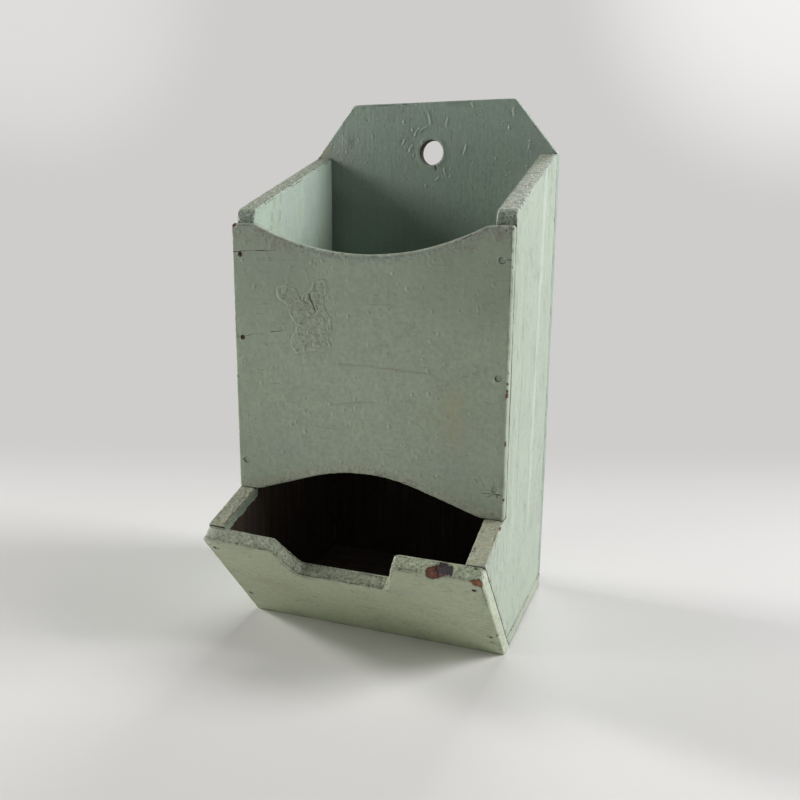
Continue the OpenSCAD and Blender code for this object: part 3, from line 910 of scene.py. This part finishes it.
def bare_inside(board):
    """Paint stops raggedly a little way into the box, and around the mouth."""
    p, n = board.co, board.cad_normal
    x, y, z = p.T
    ragged = layered(p, 5.0, 461, 4, (1, 1, 2.2))
    depth = 84 + 9 * layered(p, 16, 462, 3) + 5 * ragged - z
    name = board.name
    if name in ("left_side", "right_side"):
        side = -1 if name == "left_side" else 1
        faces_in = step_up(-side * n[:, 0], 0.3, 0.7)
        below = -((y - LIP_BACK[0]) * -0.3166 + (z - LIP_BACK[1]) * 0.9486)
        ahead = step_up(-y, 14.5, 18.5)
        edge = below - 2.6 - 1.6 * ragged
        near = ahead * edge + (1 - ahead) * depth
        bare = faces_in * step_up(near, -0.3, 0.5)
    elif name == "front_panel":
        bare = step_up(n[:, 1], 0.3, 0.7) * step_up(depth - 4, -0.4, 0.6)
    elif name == "back_board":
        bare = step_up(-n[:, 1], 0.3, 0.7) * step_up(depth, -0.4, 0.6)
        bare *= step_up(INSIDE_X + 0.4 - np.abs(x), 0, 0.3)
    elif name == "bottom_board":
        bare = step_up(n[:, 2], 0.3, 0.7)
    else:
        back = step_up(-(n @ TRAY.out), 0.3, 0.7)
        s = TRAY.at(p)[1]
        bare = back * step_up(LIP_L - 3.2 - s - 1.6 * ragged, -0.3, 0.5)
    board.field("bare", bare)


# Where each board's mesh is halved, stage by stage
def near_marks(face, lines, reach):
    """Whether points are within reach mm of any of the lines on the face."""

    def test(points):
        u, v, height = face.at(points)
        close = np.zeros(len(points), bool)
        for line in lines:
            close |= (from_line(u, v, line)[0] < reach) & (np.abs(height) < 0.9)
        return close

    return test


def near_nails(points, reach):
    close = np.zeros(len(points), bool)
    for places in NAIL_PLACES.values():
        for face, u0, v0 in places:
            u, v, height = face.at(points)
            close |= (np.hypot(u - u0, v - v0) < reach) & (np.abs(height) < 0.9)
    return close


PANEL_LINES = [points for points, _, _ in PANEL_CRACKS]


def panel_stages():
    blisters = near_pimples("front_panel")
    cracks = near_marks(PANEL, PANEL_LINES, 0.55)

    def first(board, p):
        return (p[:, 1] < PANEL_Y + 0.8) | (board.to_arris(p) < 0.9)

    def second(board, p):
        front = p[:, 1] < PANEL_Y + 0.9
        u, v, _ = PANEL.at(p)
        patch = (inside(u, v, PATCH) > -0.9) & front
        return ((board.to_arris(p) < 0.55) & (p[:, 1] < PANEL_Y + 1.6)) | patch | cracks(p) | near_nails(p, 1.7) | blisters(p)

    def third(board, p):
        return cracks(p) | near_nails(p, 1.4)

    return [first, second, third]


def tray_stages():
    chips = near_marks(LIP, [[(25, 0), (32.5, 2.5)], [(37, 0), (40.5, 0.5)]], 3.6)
    blisters = near_pimples("tray_front")
    low = near_marks(TRAY, [[(25, 44.6), (30, 44.9)], [(37, 44.6), (40.5, 44)]], 2.2)

    def first(board, p):
        front = TRAY.at(p)[2] > -0.8
        lip = LIP.at(p)[2] > -2.5
        return front | lip | (board.to_arris(p) < 0.9)

    def second(board, p):
        return (board.to_arris(p) < 0.5) | near_nails(p, 1.7) | chips(p) | low(p) | blisters(p)

    def third(board, p):
        return near_nails(p, 1.4)

    return [first, second, third]


def side_stages(side):
    lines = [[(-3.0, 108.0), (-3.9, 33.0)]] if side > 0 else []
    marks = near_marks(RIGHT, lines, 0.7)
    blisters = near_pimples("right_side")

    def cracks(p):
        return marks(p) | (blisters(p) if side > 0 else False)

    def first(board, p):
        upper = (p[:, 2] > 112) & (side * p[:, 0] < INSIDE_X + 1) & (side < 0)
        ends = (np.abs(CHEEK.at(p)[2]) < 0.8) & (p[:, 1] < -18) | (np.abs(SIDE_TOP.at(p)[2]) < 0.8)
        return (board.to_arris(p) < 1.0) | ends | upper | cracks(p)

    def second(board, p):
        cheek = (np.abs(CHEEK.at(p)[2]) < 1.5) & (p[:, 1] < -18)
        seen = (side * p[:, 0] > HALF_W - 1.5) | (p[:, 2] > 105) | cheek
        return ((board.to_arris(p) < 0.5) & seen) | cracks(p)

    return [first, second]


def back_stages():
    drawn = near_marks(BACK, BACK_WRINKLES + [[p] for p in BACK_PITS], 1.0)
    blisters = near_pimples("back_board")

    def marks(p):
        return drawn(p) | blisters(p)

    def first(board, p):
        front = (p[:, 1] < BACK_Y + 0.8) & (p[:, 2] > 116)
        return front | (board.to_arris(p) < 1.0) | near_nails(p, 1.8)

    def second(board, p):
        return ((board.to_arris(p) < 0.6) & (p[:, 2] > 112)) | marks(p) | near_nails(p, 1.5)

    def third(board, p):
        return near_nails(p, 1.35)

    return [first, second, third]


def bottom_stages():
    def first(board, p):
        return (board.to_arris(p) < 1.0) | near_nails(p, 1.8)

    def second(board, p):
        return ((board.to_arris(p) < 0.6) & (np.abs(p[:, 0]) > HALF_W - 1.5)) | near_nails(p, 1.5)

    return [first, second]


# Shader nodes
class Graph:
    """A material's node tree, written as calls."""

    def __init__(self, name):
        self.material = bpy.data.materials.new(name)
        self.material.use_nodes = True
        self.tree = self.material.node_tree
        self.shader = self.tree.nodes["Principled BSDF"]

    def node(self, kind, **settings):
        made = self.tree.nodes.new("ShaderNode" + kind)
        for key, value in settings.items():
            setattr(made, key, value)
        return made

    def link(self, a, b):
        self.tree.links.new(a, b)

    def put(self, value, socket):
        if isinstance(value, bpy.types.NodeSocket):
            self.link(value, socket)
        elif isinstance(value, tuple) and len(value) == 3 and len(socket.default_value) == 4:
            socket.default_value = (*value, 1)
        else:
            socket.default_value = value

    def place(self, scale=(1, 1, 1)):
        """The piece's own coordinates, which are the row's, each times a number."""
        where = self.node("TexCoord").outputs["Object"]
        if scale == (1, 1, 1):
            return where
        times = self.node("VectorMath", operation="MULTIPLY")
        self.link(where, times.inputs[0])
        times.inputs[1].default_value = scale
        return times.outputs[0]

    def noise(self, at, size, detail=2.0, rough=0.5, warp=0.0):
        """Noise with features about size mm wide."""
        made = self.node("TexNoise")
        self.put(at, made.inputs["Vector"])
        made.inputs["Scale"].default_value = 1000 / size
        made.inputs["Detail"].default_value = detail
        made.inputs["Roughness"].default_value = rough
        made.inputs["Distortion"].default_value = warp
        return made.outputs["Fac"]

    def cells(self, at, size):
        """Distance from the middles of cells about size mm wide, and two numbers for each cell."""
        made = self.node("TexVoronoi")
        self.put(at, made.inputs["Vector"])
        made.inputs["Scale"].default_value = 1000 / size
        split = self.node("SeparateColor")
        self.link(made.outputs["Color"], split.inputs[0])
        return made.outputs["Distance"], split.outputs[0], split.outputs[1]

    def math(self, operation, a, b=0.0, c=0.0, clamp=False):
        made = self.node("Math", operation=operation, use_clamp=clamp)
        for value, socket in zip((a, b, c), made.inputs):
            self.put(value, socket)
        return made.outputs[0]

    def ramp(self, value, low, high, to_low=0.0, to_high=1.0):
        """value from low..high to to_low..to_high, clamped and smooth."""
        made = self.node("MapRange", interpolation_type="SMOOTHSTEP")
        self.put(value, made.inputs["Value"])
        for key, number in (
            ("From Min", low),
            ("From Max", high),
            ("To Min", to_low),
            ("To Max", to_high),
        ):
            made.inputs[key].default_value = number
        return made.outputs["Result"]

    def blend(self, a, b, share, how="MIX"):
        made = self.node("Mix", data_type="RGBA", blend_type=how)
        self.put(share, made.inputs[0])
        self.put(a, made.inputs[6])
        self.put(b, made.inputs[7])
        return made.outputs[2]

    def scaled(self, colour, share):
        made = self.node("VectorMath", operation="SCALE")
        self.put(colour, made.inputs[0])
        self.put(share, made.inputs["Scale"])
        return made.outputs[0]

    def field(self, name):
        return self.node("Attribute", attribute_name=name).outputs["Fac"]

    def ragged(self, name, grain, amount=0.5, low=0.42, high=0.58):
        """A field's mask, its edge broken up by noise."""
        value = self.math("MULTIPLY_ADD", grain, amount, self.field(name))
        return self.ramp(value, low + amount / 2, high + amount / 2)

    def bump(self, height):
        """Normals from a height in mm."""
        made = self.node("Bump")
        self.put(height, made.inputs["Height"])
        made.inputs["Distance"].default_value = 0.001
        made.inputs["Strength"].default_value = 1.0
        self.link(made.outputs[0], self.shader.inputs["Normal"])


def shade(colour, share):
    return tuple(c * share for c in colour)


def toward(colour, other, share):
    return tuple(a + (b - a) * share for a, b in zip(colour, other))


LAVENDER = (0.36, 0.36, 0.39)
KHAKI = (0.43, 0.420, 0.300)
OCHRE = (0.37, 0.32, 0.15)
MINT = (0.66, 0.72, 0.60)
COOL = (0.60, 0.72, 0.66)
# Dirt's colour, also used for painted shade
DIRT_AND_SHADE = (0.030, 0.030, 0.022)
RUST = (0.085, 0.035, 0.018)
RED_WOOD = (0.190, 0.062, 0.036)
ORANGE_WOOD = (0.33, 0.125, 0.045)
SOOT = (0.018, 0.017, 0.024)
DARK_WOOD = (0.042, 0.030, 0.024)
BROWN_WOOD = (0.110, 0.072, 0.046)


def paint_material(name, paint, brush, hair, stroke, dirt, grain, pimples, fields):
    """Old flat paint with brush marks, grain cracks, pimples and specks, and the board's marks."""
    g = Graph(name)
    at = g.place()
    clouds = g.noise(at, 19, 3, 0.55)
    mottle = g.noise(at, 1.25, 3, 0.6)
    fine = g.noise(at, 0.45, 2, 0.6)
    streaks = g.noise(g.place(brush), 1.9, 3, 0.62)
    hairs = g.noise(g.place(brush), 0.7, 2, 0.6)
    colour = g.blend(shade(paint, 0.94), toward(shade(paint, 1.05), (0.45, 0.47, 0.36), 0.15), clouds)
    tinted = g.ramp(streaks, 0.52, 0.75, 0.0, 0.40 * hair)
    colour = g.blend(colour, toward(paint, LAVENDER, 0.5), tinted)
    lines = g.ramp(hairs, 0.3, 0.7, 1 - 0.045 * hair, 1 + 0.04 * hair)
    light = g.math("MULTIPLY", g.ramp(mottle, 0.28, 0.72, 0.92, 1.07), lines)
    light = g.math("MULTIPLY", light, g.ramp(fine, 0.3, 0.7, 0.975, 1.025))
    colour = g.scaled(colour, light)
    height = g.math("MULTIPLY", streaks, 0.09 * hair)
    height = g.math("MULTIPLY_ADD", hairs, 0.045 * hair, height)
    height = g.math("MULTIPLY_ADD", mottle, 0.11, height)
    height = g.math("MULTIPLY_ADD", fine, 0.020, height)
    # Short cracks along the wood's grain
    ridge = g.math("ABSOLUTE", g.math("SUBTRACT", g.noise(g.place(grain), 2.6, 2, 0.5), 0.5))
    patchy = g.ramp(g.noise(at, 9, 3, 0.6), 0.50, 0.62)
    grain_crack = g.math("MULTIPLY", g.ramp(ridge, 0.0, 0.012, 1.0, 0.0), patchy)
    colour = g.blend(colour, shade(paint, 0.55), g.math("MULTIPLY", grain_crack, 0.45))
    height = g.math("MULTIPLY_ADD", grain_crack, -0.03, height)
    # Dirt rubbed into the film, in dots and short strokes along the grain
    speckled = g.noise(g.place(stroke), 0.85, 3, 0.6)
    cloudy = g.noise(at, 13, 4, 0.65)
    dots = g.math("MULTIPLY", g.ramp(speckled, 0.56, 0.63), g.ramp(cloudy, 0.42, 0.62))
    colour = g.blend(colour, shade(paint, 0.32), g.math("MULTIPLY", dots, dirt))
    if "scuffed" in fields:
        scuffs = g.math("MULTIPLY", g.ramp(speckled, 0.53, 0.60), g.field("scuffed"))
        colour = g.blend(colour, shade(paint, 0.30), g.math("MULTIPLY", scuffs, 0.75))
        height = g.math("MULTIPLY_ADD", scuffs, -0.08, height)
    height = g.math("MULTIPLY_ADD", dots, -0.03, height)
    colour = g.blend(colour, shade(paint, 0.80), g.ramp(cloudy, 0.5, 0.75, 0.0, 0.35))
    # Pimples and pinholes in the film
    tall = g.place((1, 1, 0.62))
    distance, pick, other = g.cells(tall, 2.5)
    chosen = g.ramp(pick, pimples, pimples + 0.03)
    dome = g.math("MULTIPLY", g.ramp(distance, 0.04, 0.15, 1.0, 0.0), chosen)
    height = g.math("MULTIPLY_ADD", dome, 0.16, height)
    # Each pimple's top is also painted lighter: a painted highlight
    colour = g.blend(colour, toward(paint, MINT, 0.35), g.math("MULTIPLY", dome, 0.5))
    pinhole = g.math("MULTIPLY", g.ramp(distance, 0.03, 0.07, 1.0, 0.0), g.ramp(other, 0.85, 0.87))
    height = g.math("MULTIPLY_ADD", pinhole, -0.07, height)
    colour = g.blend(colour, shade(DIRT_AND_SHADE, 2.0), g.math("MULTIPLY", pinhole, 0.8))
    distance, pick, other = g.cells(tall, 1.2)
    small = g.math("MULTIPLY", g.ramp(distance, 0.06, 0.2, 1.0, 0.0), g.ramp(pick, 0.62, 0.64))
    small = g.math("MULTIPLY", small, g.ramp(g.noise(at, 12, 2), 0.40, 0.60))
    height = g.math("MULTIPLY_ADD", small, 0.05, height)
    rough = g.ramp(mottle, 0.2, 0.8, 0.46, 0.60)
    tints = (
        ("patch", toward(shade(paint, 1.04), KHAKI, 0.35), 0.60, 0.35),
        ("bloom", toward(shade(paint, 0.95), LAVENDER, 0.60), 0.60, 0.55),
        ("khaki", KHAKI, 0.82, 0.55),
        ("ochre", OCHRE, 0.42, 0.70),
        ("shade", shade(paint, 0.60), 0.85, 0.40),
        ("pale", MINT, 0.60, 0.50),
        ("cool", COOL, 0.60, 0.40),
        ("score", (0.20, 0.14, 0.12), 0.55, 0.50),
    )
    for key, tint, most, broken in tints:
        if key in fields:
            share = g.math("MULTIPLY_ADD", g.math("SUBTRACT", mottle, 0.5), broken, g.field(key))
            share = g.math("MULTIPLY", share, g.ramp(g.field(key), 0.0, 0.15))
            colour = g.blend(colour, tint, g.math("MULTIPLY", share, most, clamp=True))
    if "pitted" in fields:
        pits = g.math("MULTIPLY", g.ramp(g.noise(at, 0.95, 3, 0.65), 0.50, 0.60), g.field("pitted"))
        grains = g.math("MULTIPLY", g.ramp(g.noise(at, 0.75, 2, 0.6), 0.54, 0.64), g.field("pitted"))
        colour = g.blend(colour, shade(paint, 0.26), g.math("MULTIPLY", pits, 0.68))
        colour = g.blend(colour, toward(paint, MINT, 0.9), g.math("MULTIPLY", grains, 0.55))
        height = g.math("MULTIPLY_ADD", pits, -0.16, height)
        height = g.math("MULTIPLY_ADD", grains, 0.08, height)
    # Dirt, and in places painted shade: in the joints, in the hanging hole and low inside the box
    if "grime" in fields:
        dirt_and_shade_mask = g.math("MULTIPLY_ADD", g.math("SUBTRACT", fine, 0.5), 0.5, g.field("grime"))
        dirt_and_shade_mask = g.math("MULTIPLY", g.ramp(dirt_and_shade_mask, 0.15, 0.85), g.ramp(g.field("grime"), 0.02, 0.2))
        colour = g.blend(colour, DIRT_AND_SHADE, g.math("MULTIPLY", dirt_and_shade_mask, 0.92))
        rough = g.math("MULTIPLY_ADD", dirt_and_shade_mask, 0.25, rough)
    if "rust" in fields:
        rusty = g.ragged("rust", fine, 0.5, 0.35, 0.75)
        colour = g.blend(colour, g.blend(shade(RUST, 0.5), shade(RUST, 1.6), mottle), g.math("MULTIPLY", rusty, 0.85))
    wood = wood_colour(g, at, grain)
    if "chip" in fields:
        chipped = g.ragged("chip", fine, 0.3, 0.42, 0.58)
        flake = g.blend(RED_WOOD, shade(RED_WOOD, 0.45), g.ramp(g.noise(at, 1.3, 3, 0.65), 0.35, 0.65))
        flake = g.blend(flake, DIRT_AND_SHADE, g.ramp(g.noise(at, 0.8, 2, 0.6), 0.56, 0.68))
        if "fresh" in fields:
            flake = g.blend(flake, ORANGE_WOOD, g.math("MULTIPLY", g.field("fresh"), g.ramp(mottle, 0.3, 0.6)))
        if "soot" in fields:
            flake = g.blend(flake, SOOT, g.math("MULTIPLY", g.field("soot"), 0.92))
        colour = g.blend(colour, flake, chipped)
        rough = g.math("MULTIPLY_ADD", chipped, 0.2, rough)
        height = g.math("MULTIPLY_ADD", g.math("MULTIPLY", chipped, mottle), 0.12, height)
    if "wood" in fields:
        colour = g.blend(colour, g.scaled(wood, 1.8), g.ragged("wood", mottle, 0.5))
    if "bare" in fields:
        bare = g.ragged("bare", mottle, 0.4)
        colour = g.blend(colour, wood, bare)
        rough = g.math("MULTIPLY_ADD", bare, 0.25, rough)
    g.link(colour, g.shader.inputs["Base Color"])
    g.link(g.math("MINIMUM", rough, 0.9), g.shader.inputs["Roughness"])
    g.bump(height)
    return g.material


def wood_colour(g, at, grain):
    """Old unpainted wood: dark, with lines along the grain."""
    lines = g.noise(g.place(grain), 1.6, 4, 0.65)
    colour = g.blend(DARK_WOOD, BROWN_WOOD, g.ramp(lines, 0.35, 0.75))
    return g.blend(colour, shade(DARK_WOOD, 0.5), g.ramp(g.noise(at, 14, 3, 0.6), 0.45, 0.7, 0.0, 0.7))


def nail_material(name):
    """Rusted iron where the field says so, elsewhere the boards' paint over it."""
    g = Graph(name)
    at = g.place()
    mottle = g.noise(at, 0.7, 4, 0.65)
    fine = g.noise(at, 0.25, 2, 0.6)
    paint = BOARDS["front_panel"][1]
    colour = g.blend(shade(paint, 0.80), shade(paint, 1.02), mottle)
    iron = g.blend(shade(RUST, 0.40), (0.150, 0.105, 0.050), g.ramp(mottle, 0.48, 0.75))
    iron = g.blend(iron, (0.22, 0.21, 0.18), g.ramp(fine, 0.62, 0.72))
    rusty = g.ragged("rust", mottle, 0.7, 0.40, 0.60)
    g.link(g.blend(colour, iron, rusty), g.shader.inputs["Base Color"])
    g.link(g.math("MULTIPLY_ADD", rusty, 0.2, g.ramp(fine, 0.2, 0.8, 0.5, 0.65)), g.shader.inputs["Roughness"])
    g.bump(g.math("MULTIPLY_ADD", mottle, 0.10, g.math("MULTIPLY", fine, 0.03)))
    return g.material


# The camera, light and floor
LENS_MM = 36.988
CAMERA_AT = (0.0870, -0.2240, 0.1217)
CAMERA_TURN = (0.3566, 0.2135, 0.0082)  # yaw, downward tilt and roll


def make_camera():
    yaw, tilt, roll = CAMERA_TURN
    camera = bpy.data.cameras.new("camera")
    camera.lens = LENS_MM
    camera.sensor_width = 36
    camera.clip_start = 0.01
    camera.clip_end = 20
    holder = bpy.data.objects.new("camera", camera)
    turn = Matrix.Rotation(yaw, 4, "Z") @ Matrix.Rotation(math.pi / 2 - tilt, 4, "X")
    holder.matrix_world = Matrix.Translation(CAMERA_AT) @ turn @ Matrix.Rotation(roll, 4, "Z")
    bpy.context.scene.collection.objects.link(holder)
    bpy.context.scene.camera = holder


# Lamps: azimuth from +X towards +Y, elevation, distance in m, size in m, power in W
LAMPS = {
    "right": (15, 30, 0.9, 0.35, 5.9, (1.0, 1.0, 0.99)),
    "right_low": (0, 22, 0.9, 0.35, 2.0, (1.0, 1.0, 0.99)),
    "left": (180, 20, 0.9, 0.17, 4.6, (1.0, 0.995, 0.97)),
    "left_low": (180, 6, 0.9, 0.35, 2.6, (1.0, 0.995, 0.97)),
    "front_left": (218, 12, 0.9, 0.26, 1.95, (1.0, 0.99, 0.94)),
    "behind": (90, 40, 0.9, 0.35, 2.05, (1.0, 1.0, 1.0)),
}


def make_light():
    for name, (azimuth, elevation, distance, size, power, colour) in LAMPS.items():
        a, e = math.radians(azimuth), math.radians(elevation)
        way = Vector((math.cos(a) * math.cos(e), math.sin(a) * math.cos(e), math.sin(e)))
        lamp = bpy.data.lights.new(name, "AREA")
        lamp.shape = "DISK"
        lamp.size = size
        lamp.energy = power
        lamp.color = colour
        holder = bpy.data.objects.new(name, lamp)
        holder.location = Vector((0, 0, 0.07)) + way * distance
        holder.rotation_mode = "QUATERNION"
        holder.rotation_quaternion = (-way).to_track_quat("-Z", "Y")
        bpy.context.scene.collection.objects.link(holder)
    world = bpy.data.worlds.new("world")
    world.use_nodes = True
    tree = world.node_tree
    back = tree.nodes["Background"]
    path = tree.nodes.new("ShaderNodeLightPath")
    way = tree.nodes.new("ShaderNodeTexCoord").outputs["Generated"]
    level = BACKDROP
    for toward_glow, low, high, amount in BACKDROP_GLOWS:
        dot = tree.nodes.new("ShaderNodeVectorMath")
        dot.operation = "DOT_PRODUCT"
        tree.links.new(way, dot.inputs[0])
        dot.inputs[1].default_value = Vector(toward_glow).normalized()
        glow = tree.nodes.new("ShaderNodeMapRange")
        glow.interpolation_type = "SMOOTHSTEP"
        tree.links.new(dot.outputs["Value"], glow.inputs["Value"])
        glow.inputs["From Min"].default_value = low
        glow.inputs["From Max"].default_value = high
        glow.inputs["To Max"].default_value = amount
        total = tree.nodes.new("ShaderNodeMath")
        tree.links.new(glow.outputs["Result"], total.inputs[0])
        if isinstance(level, float):
            total.inputs[1].default_value = level
        else:
            tree.links.new(level, total.inputs[1])
        level = total.outputs[0]
    strength = tree.nodes.new("ShaderNodeMath")
    strength.operation = "MULTIPLY"
    tree.links.new(level, strength.inputs[0])
    seen = tree.nodes.new("ShaderNodeMath")
    seen.operation = "MAXIMUM"
    tree.links.new(path.outputs["Is Camera Ray"], seen.inputs[0])
    tree.links.new(path.outputs["Is Glossy Ray"], seen.inputs[1])
    tree.links.new(seen.outputs[0], strength.inputs[1])
    tree.links.new(strength.outputs[0], back.inputs["Strength"])
    back.inputs["Color"].default_value = (1.0, 0.985, 0.97, 1)
    bpy.context.scene.world = world
    bpy.context.scene.view_settings.view_transform = "Standard"


BACKDROP = 0.62
# Soft glows on the backdrop: the way they lie, from and to what cosine, and how much they add
BACKDROP_GLOWS = [((0.10, 0.97, 0.30), 0.958, 1.0, 0.27), ((-0.70, 0.73, 0.25), 0.978, 1.0, 0.11)]


def make_floor():
    """A sheet of pale paper, which far off turns into an even backdrop."""
    half, rings, spokes = 3.4, 30, 72
    bm = bmesh.new()
    middle = bm.verts.new((0, 0, 0))
    rows = [
        [
            bm.verts.new((r * math.cos(a), r * math.sin(a), 0))
            for a in np.linspace(0, 2 * math.pi, spokes, endpoint=False)
        ]
        for r in half * (np.arange(1, rings + 1) / rings) ** 2
    ]
    for k in range(spokes):
        bm.faces.new((middle, rows[0][k], rows[0][(k + 1) % spokes]))
        for near, far in zip(rows, rows[1:]):
            bm.faces.new((near[k], far[k], far[(k + 1) % spokes], near[(k + 1) % spokes]))
    mesh = bpy.data.meshes.new("floor")
    bm.to_mesh(mesh)
    bm.free()
    floor = bpy.data.objects.new("floor", mesh)
    bpy.context.scene.collection.objects.link(floor)
    g = Graph("paper_sheet")
    at = g.place()
    tone = g.noise(at, 400, 2, 0.5)
    tooth = g.noise(at, 0.8, 2, 0.6)
    g.shader.inputs["Roughness"].default_value = 0.95
    g.shader.inputs["Specular IOR Level"].default_value = 0.1
    g.link(g.blend((0.765, 0.752, 0.75), (0.795, 0.782, 0.78), tone), g.shader.inputs["Base Color"])
    g.bump(g.math("MULTIPLY", tooth, 0.03))
    glow = g.node("Emission")
    glow.inputs["Color"].default_value = (1.0, 0.985, 0.97, 1)
    glow.inputs["Strength"].default_value = BACKDROP
    length = g.node("VectorMath", operation="LENGTH")
    g.link(at, length.inputs[0])
    path = g.node("LightPath")
    seen = g.math("MAXIMUM", path.outputs["Is Camera Ray"], path.outputs["Is Glossy Ray"])
    away = g.node("VectorMath", operation="DOT_PRODUCT")
    g.link(at, away.inputs[0])
    away.inputs[1].default_value = (-math.sin(CAMERA_TURN[0]), math.cos(CAMERA_TURN[0]), 0)
    behind = g.ramp(away.outputs["Value"], 0.03, 0.21)
    beyond = g.math("MAXIMUM", g.ramp(length.outputs["Value"], 0.22, 0.6), behind)
    far = g.math("MULTIPLY", beyond, seen)
    mix = g.node("MixShader")
    g.link(far, mix.inputs[0])
    g.link(g.shader.outputs[0], mix.inputs[1])
    g.link(glow.outputs[0], mix.inputs[2])
    g.link(mix.outputs[0], g.tree.nodes["Material Output"].inputs["Surface"])
    mesh.materials.append(g.material)


# Put together
def finish_piece(piece, mesh, material, node):
    mesh.polygons.foreach_set("use_smooth", [True] * len(mesh.polygons))
    mesh.materials.clear()
    mesh.materials.append(material)
    made = bpy.data.objects.new(piece, mesh)
    bpy.context.scene.collection.objects.link(made)
    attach(made, "root")
    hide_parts(node)


def finish_board(board, *brushwork):
    mesh = board.mesh
    normal = board.normals(board.base)
    co = board.base + normal * board.lift[:, None]
    co[:, 2] = np.maximum(co[:, 2], 0.0)
    mesh.vertices.foreach_set("co", (co * 0.001).ravel())
    mesh.update()
    kept = {k: v for k, v in board.fields.items() if v.max() > 0.02}
    for name, values in kept.items():
        mesh.attributes.new(name, "FLOAT", "POINT").data.foreach_set("value", values)
    paint = BOARDS[board.name][1]
    material = paint_material("paint_" + board.name, paint, *brushwork, set(kept))
    finish_piece("painted_" + board.name, mesh, material, board.name)


def nail_mesh(name, seed):
    """Nails with hand-struck heads under the paint, each turned from a rough profile."""
    spokes = 40
    top = -NAIL_SINK
    neck = top - HEAD_T
    profile = [(r, top + 0.03) for r in np.linspace(0.09, HEAD_R - 0.12, 9)]
    profile += [(HEAD_R - 0.03, top - 0.02), (HEAD_R, top - 0.12), (HEAD_R, neck + 0.06)]
    profile += [(HEAD_R - 0.05, neck), (NAIL_R, neck - 0.4), (NAIL_R, -4.0), (NAIL_R, -7.5)]
    profile += [(NAIL_R, -NAIL_L + 1.76), (0.25, -NAIL_L + 0.7), (0.06, -NAIL_L + 0.12)]
    bm = bmesh.new()
    rust = []
    for k, (face, u, v) in enumerate(NAIL_PLACES[name]):
        rusty = 1.0 if (name, k) in RUSTY else 0.12
        angles = np.linspace(0, 2 * math.pi, spokes, endpoint=False)
        rows = []
        for r, h in profile:
            ring = np.stack([r * np.cos(angles), r * np.sin(angles), np.full(spokes, h)], 1)
            rough = layered(ring + 40.0 * k, 0.7, seed + k, 3)
            if h > neck:
                ring[:, :2] *= (1 + 0.03 * rough)[:, None]
                ring[:, 2] += 0.05 * rough
            rows.append([bm.verts.new(face.place(u + x, v + y, z) * 0.001) for x, y, z in ring])
        cap = bm.verts.new(face.place(u, v, top + 0.04) * 0.001)
        tip = bm.verts.new(face.place(u, v, -NAIL_L) * 0.001)
        for j in range(spokes):
            n = (j + 1) % spokes
            bm.faces.new((cap, rows[0][j], rows[0][n]))
            for a, b in zip(rows, rows[1:]):
                bm.faces.new((a[j], b[j], b[n], a[n]))
            bm.faces.new((tip, rows[-1][n], rows[-1][j]))
        rust += [rusty] * (len(profile) * spokes + 2)
    mesh = bpy.data.meshes.new(name)
    bm.to_mesh(mesh)
    bm.free()
    mesh.attributes.new("rust", "FLOAT", "POINT").data.foreach_set("value", rust)
    return mesh


UPRIGHT_BRUSH = (1, 1, 0.045)
PANEL_BRUSH = (0.6, 1, 0.10)
LEVEL_BRUSH = (0.05, 1, 1)
UPRIGHT_GRAIN = (1, 1, 0.035)
LEVEL_GRAIN = (0.035, 1, 1)

STAGES = {
    "back_board": back_stages(),
    "left_side": side_stages(-1),
    "right_side": side_stages(1),
    "bottom_board": bottom_stages(),
    "front_panel": panel_stages(),
    "tray_front": tray_stages(),
}
MARKS = {
    "back_board": (mark_back, UPRIGHT_BRUSH, 0.8, (1, 1, 0.4), 0.35, UPRIGHT_GRAIN, 0.80),
    "left_side": (mark_left, UPRIGHT_BRUSH, 1.0, (1, 1, 0.2), 0.40, UPRIGHT_GRAIN, 0.88),
    "right_side": (mark_right, UPRIGHT_BRUSH, 0.9, (1, 1, 0.2), 0.55, UPRIGHT_GRAIN, 0.86),
    "bottom_board": (mark_bottom, LEVEL_BRUSH, 1.0, (0.4, 1, 1), 0.50, LEVEL_GRAIN, 0.88),
    "front_panel": (mark_panel, PANEL_BRUSH, 0.6, (0.5, 1, 0.9), 0.17, LEVEL_GRAIN, 0.60),
    "tray_front": (mark_tray, LEVEL_BRUSH, 0.7, (0.45, 1, 1), 0.50, LEVEL_GRAIN, 0.80),
}

import time

T = time.time()
make_camera()
make_light()
make_floor()
boards = [Board(name, STAGES[name]) for name in BOARDS]
print("boards", round(time.time() - T, 1), [(b.name, b.n, len(b.mesh.polygons)) for b in boards])
for board in boards:
    board.meets([b for b in boards if b is not board])
print("meets", round(time.time() - T, 1))
for k, board in enumerate(boards):
    mark, *brushwork = MARKS[board.name]
    worn(board, ROUNDING.get(board.name, 0.27))
    weather(board, 100 + 10 * k)
    nail_marks(board)
    pimples(board)
    mark(board)
    bare_inside(board)
    finish_board(board, *brushwork)
iron = nail_material("nail_iron")
for k, name in enumerate(NAIL_PLACES):
    finish_piece("heads_of_" + name, nail_mesh(name, 500 + 10 * k), iron, name)
print("done", round(time.time() - T, 1))
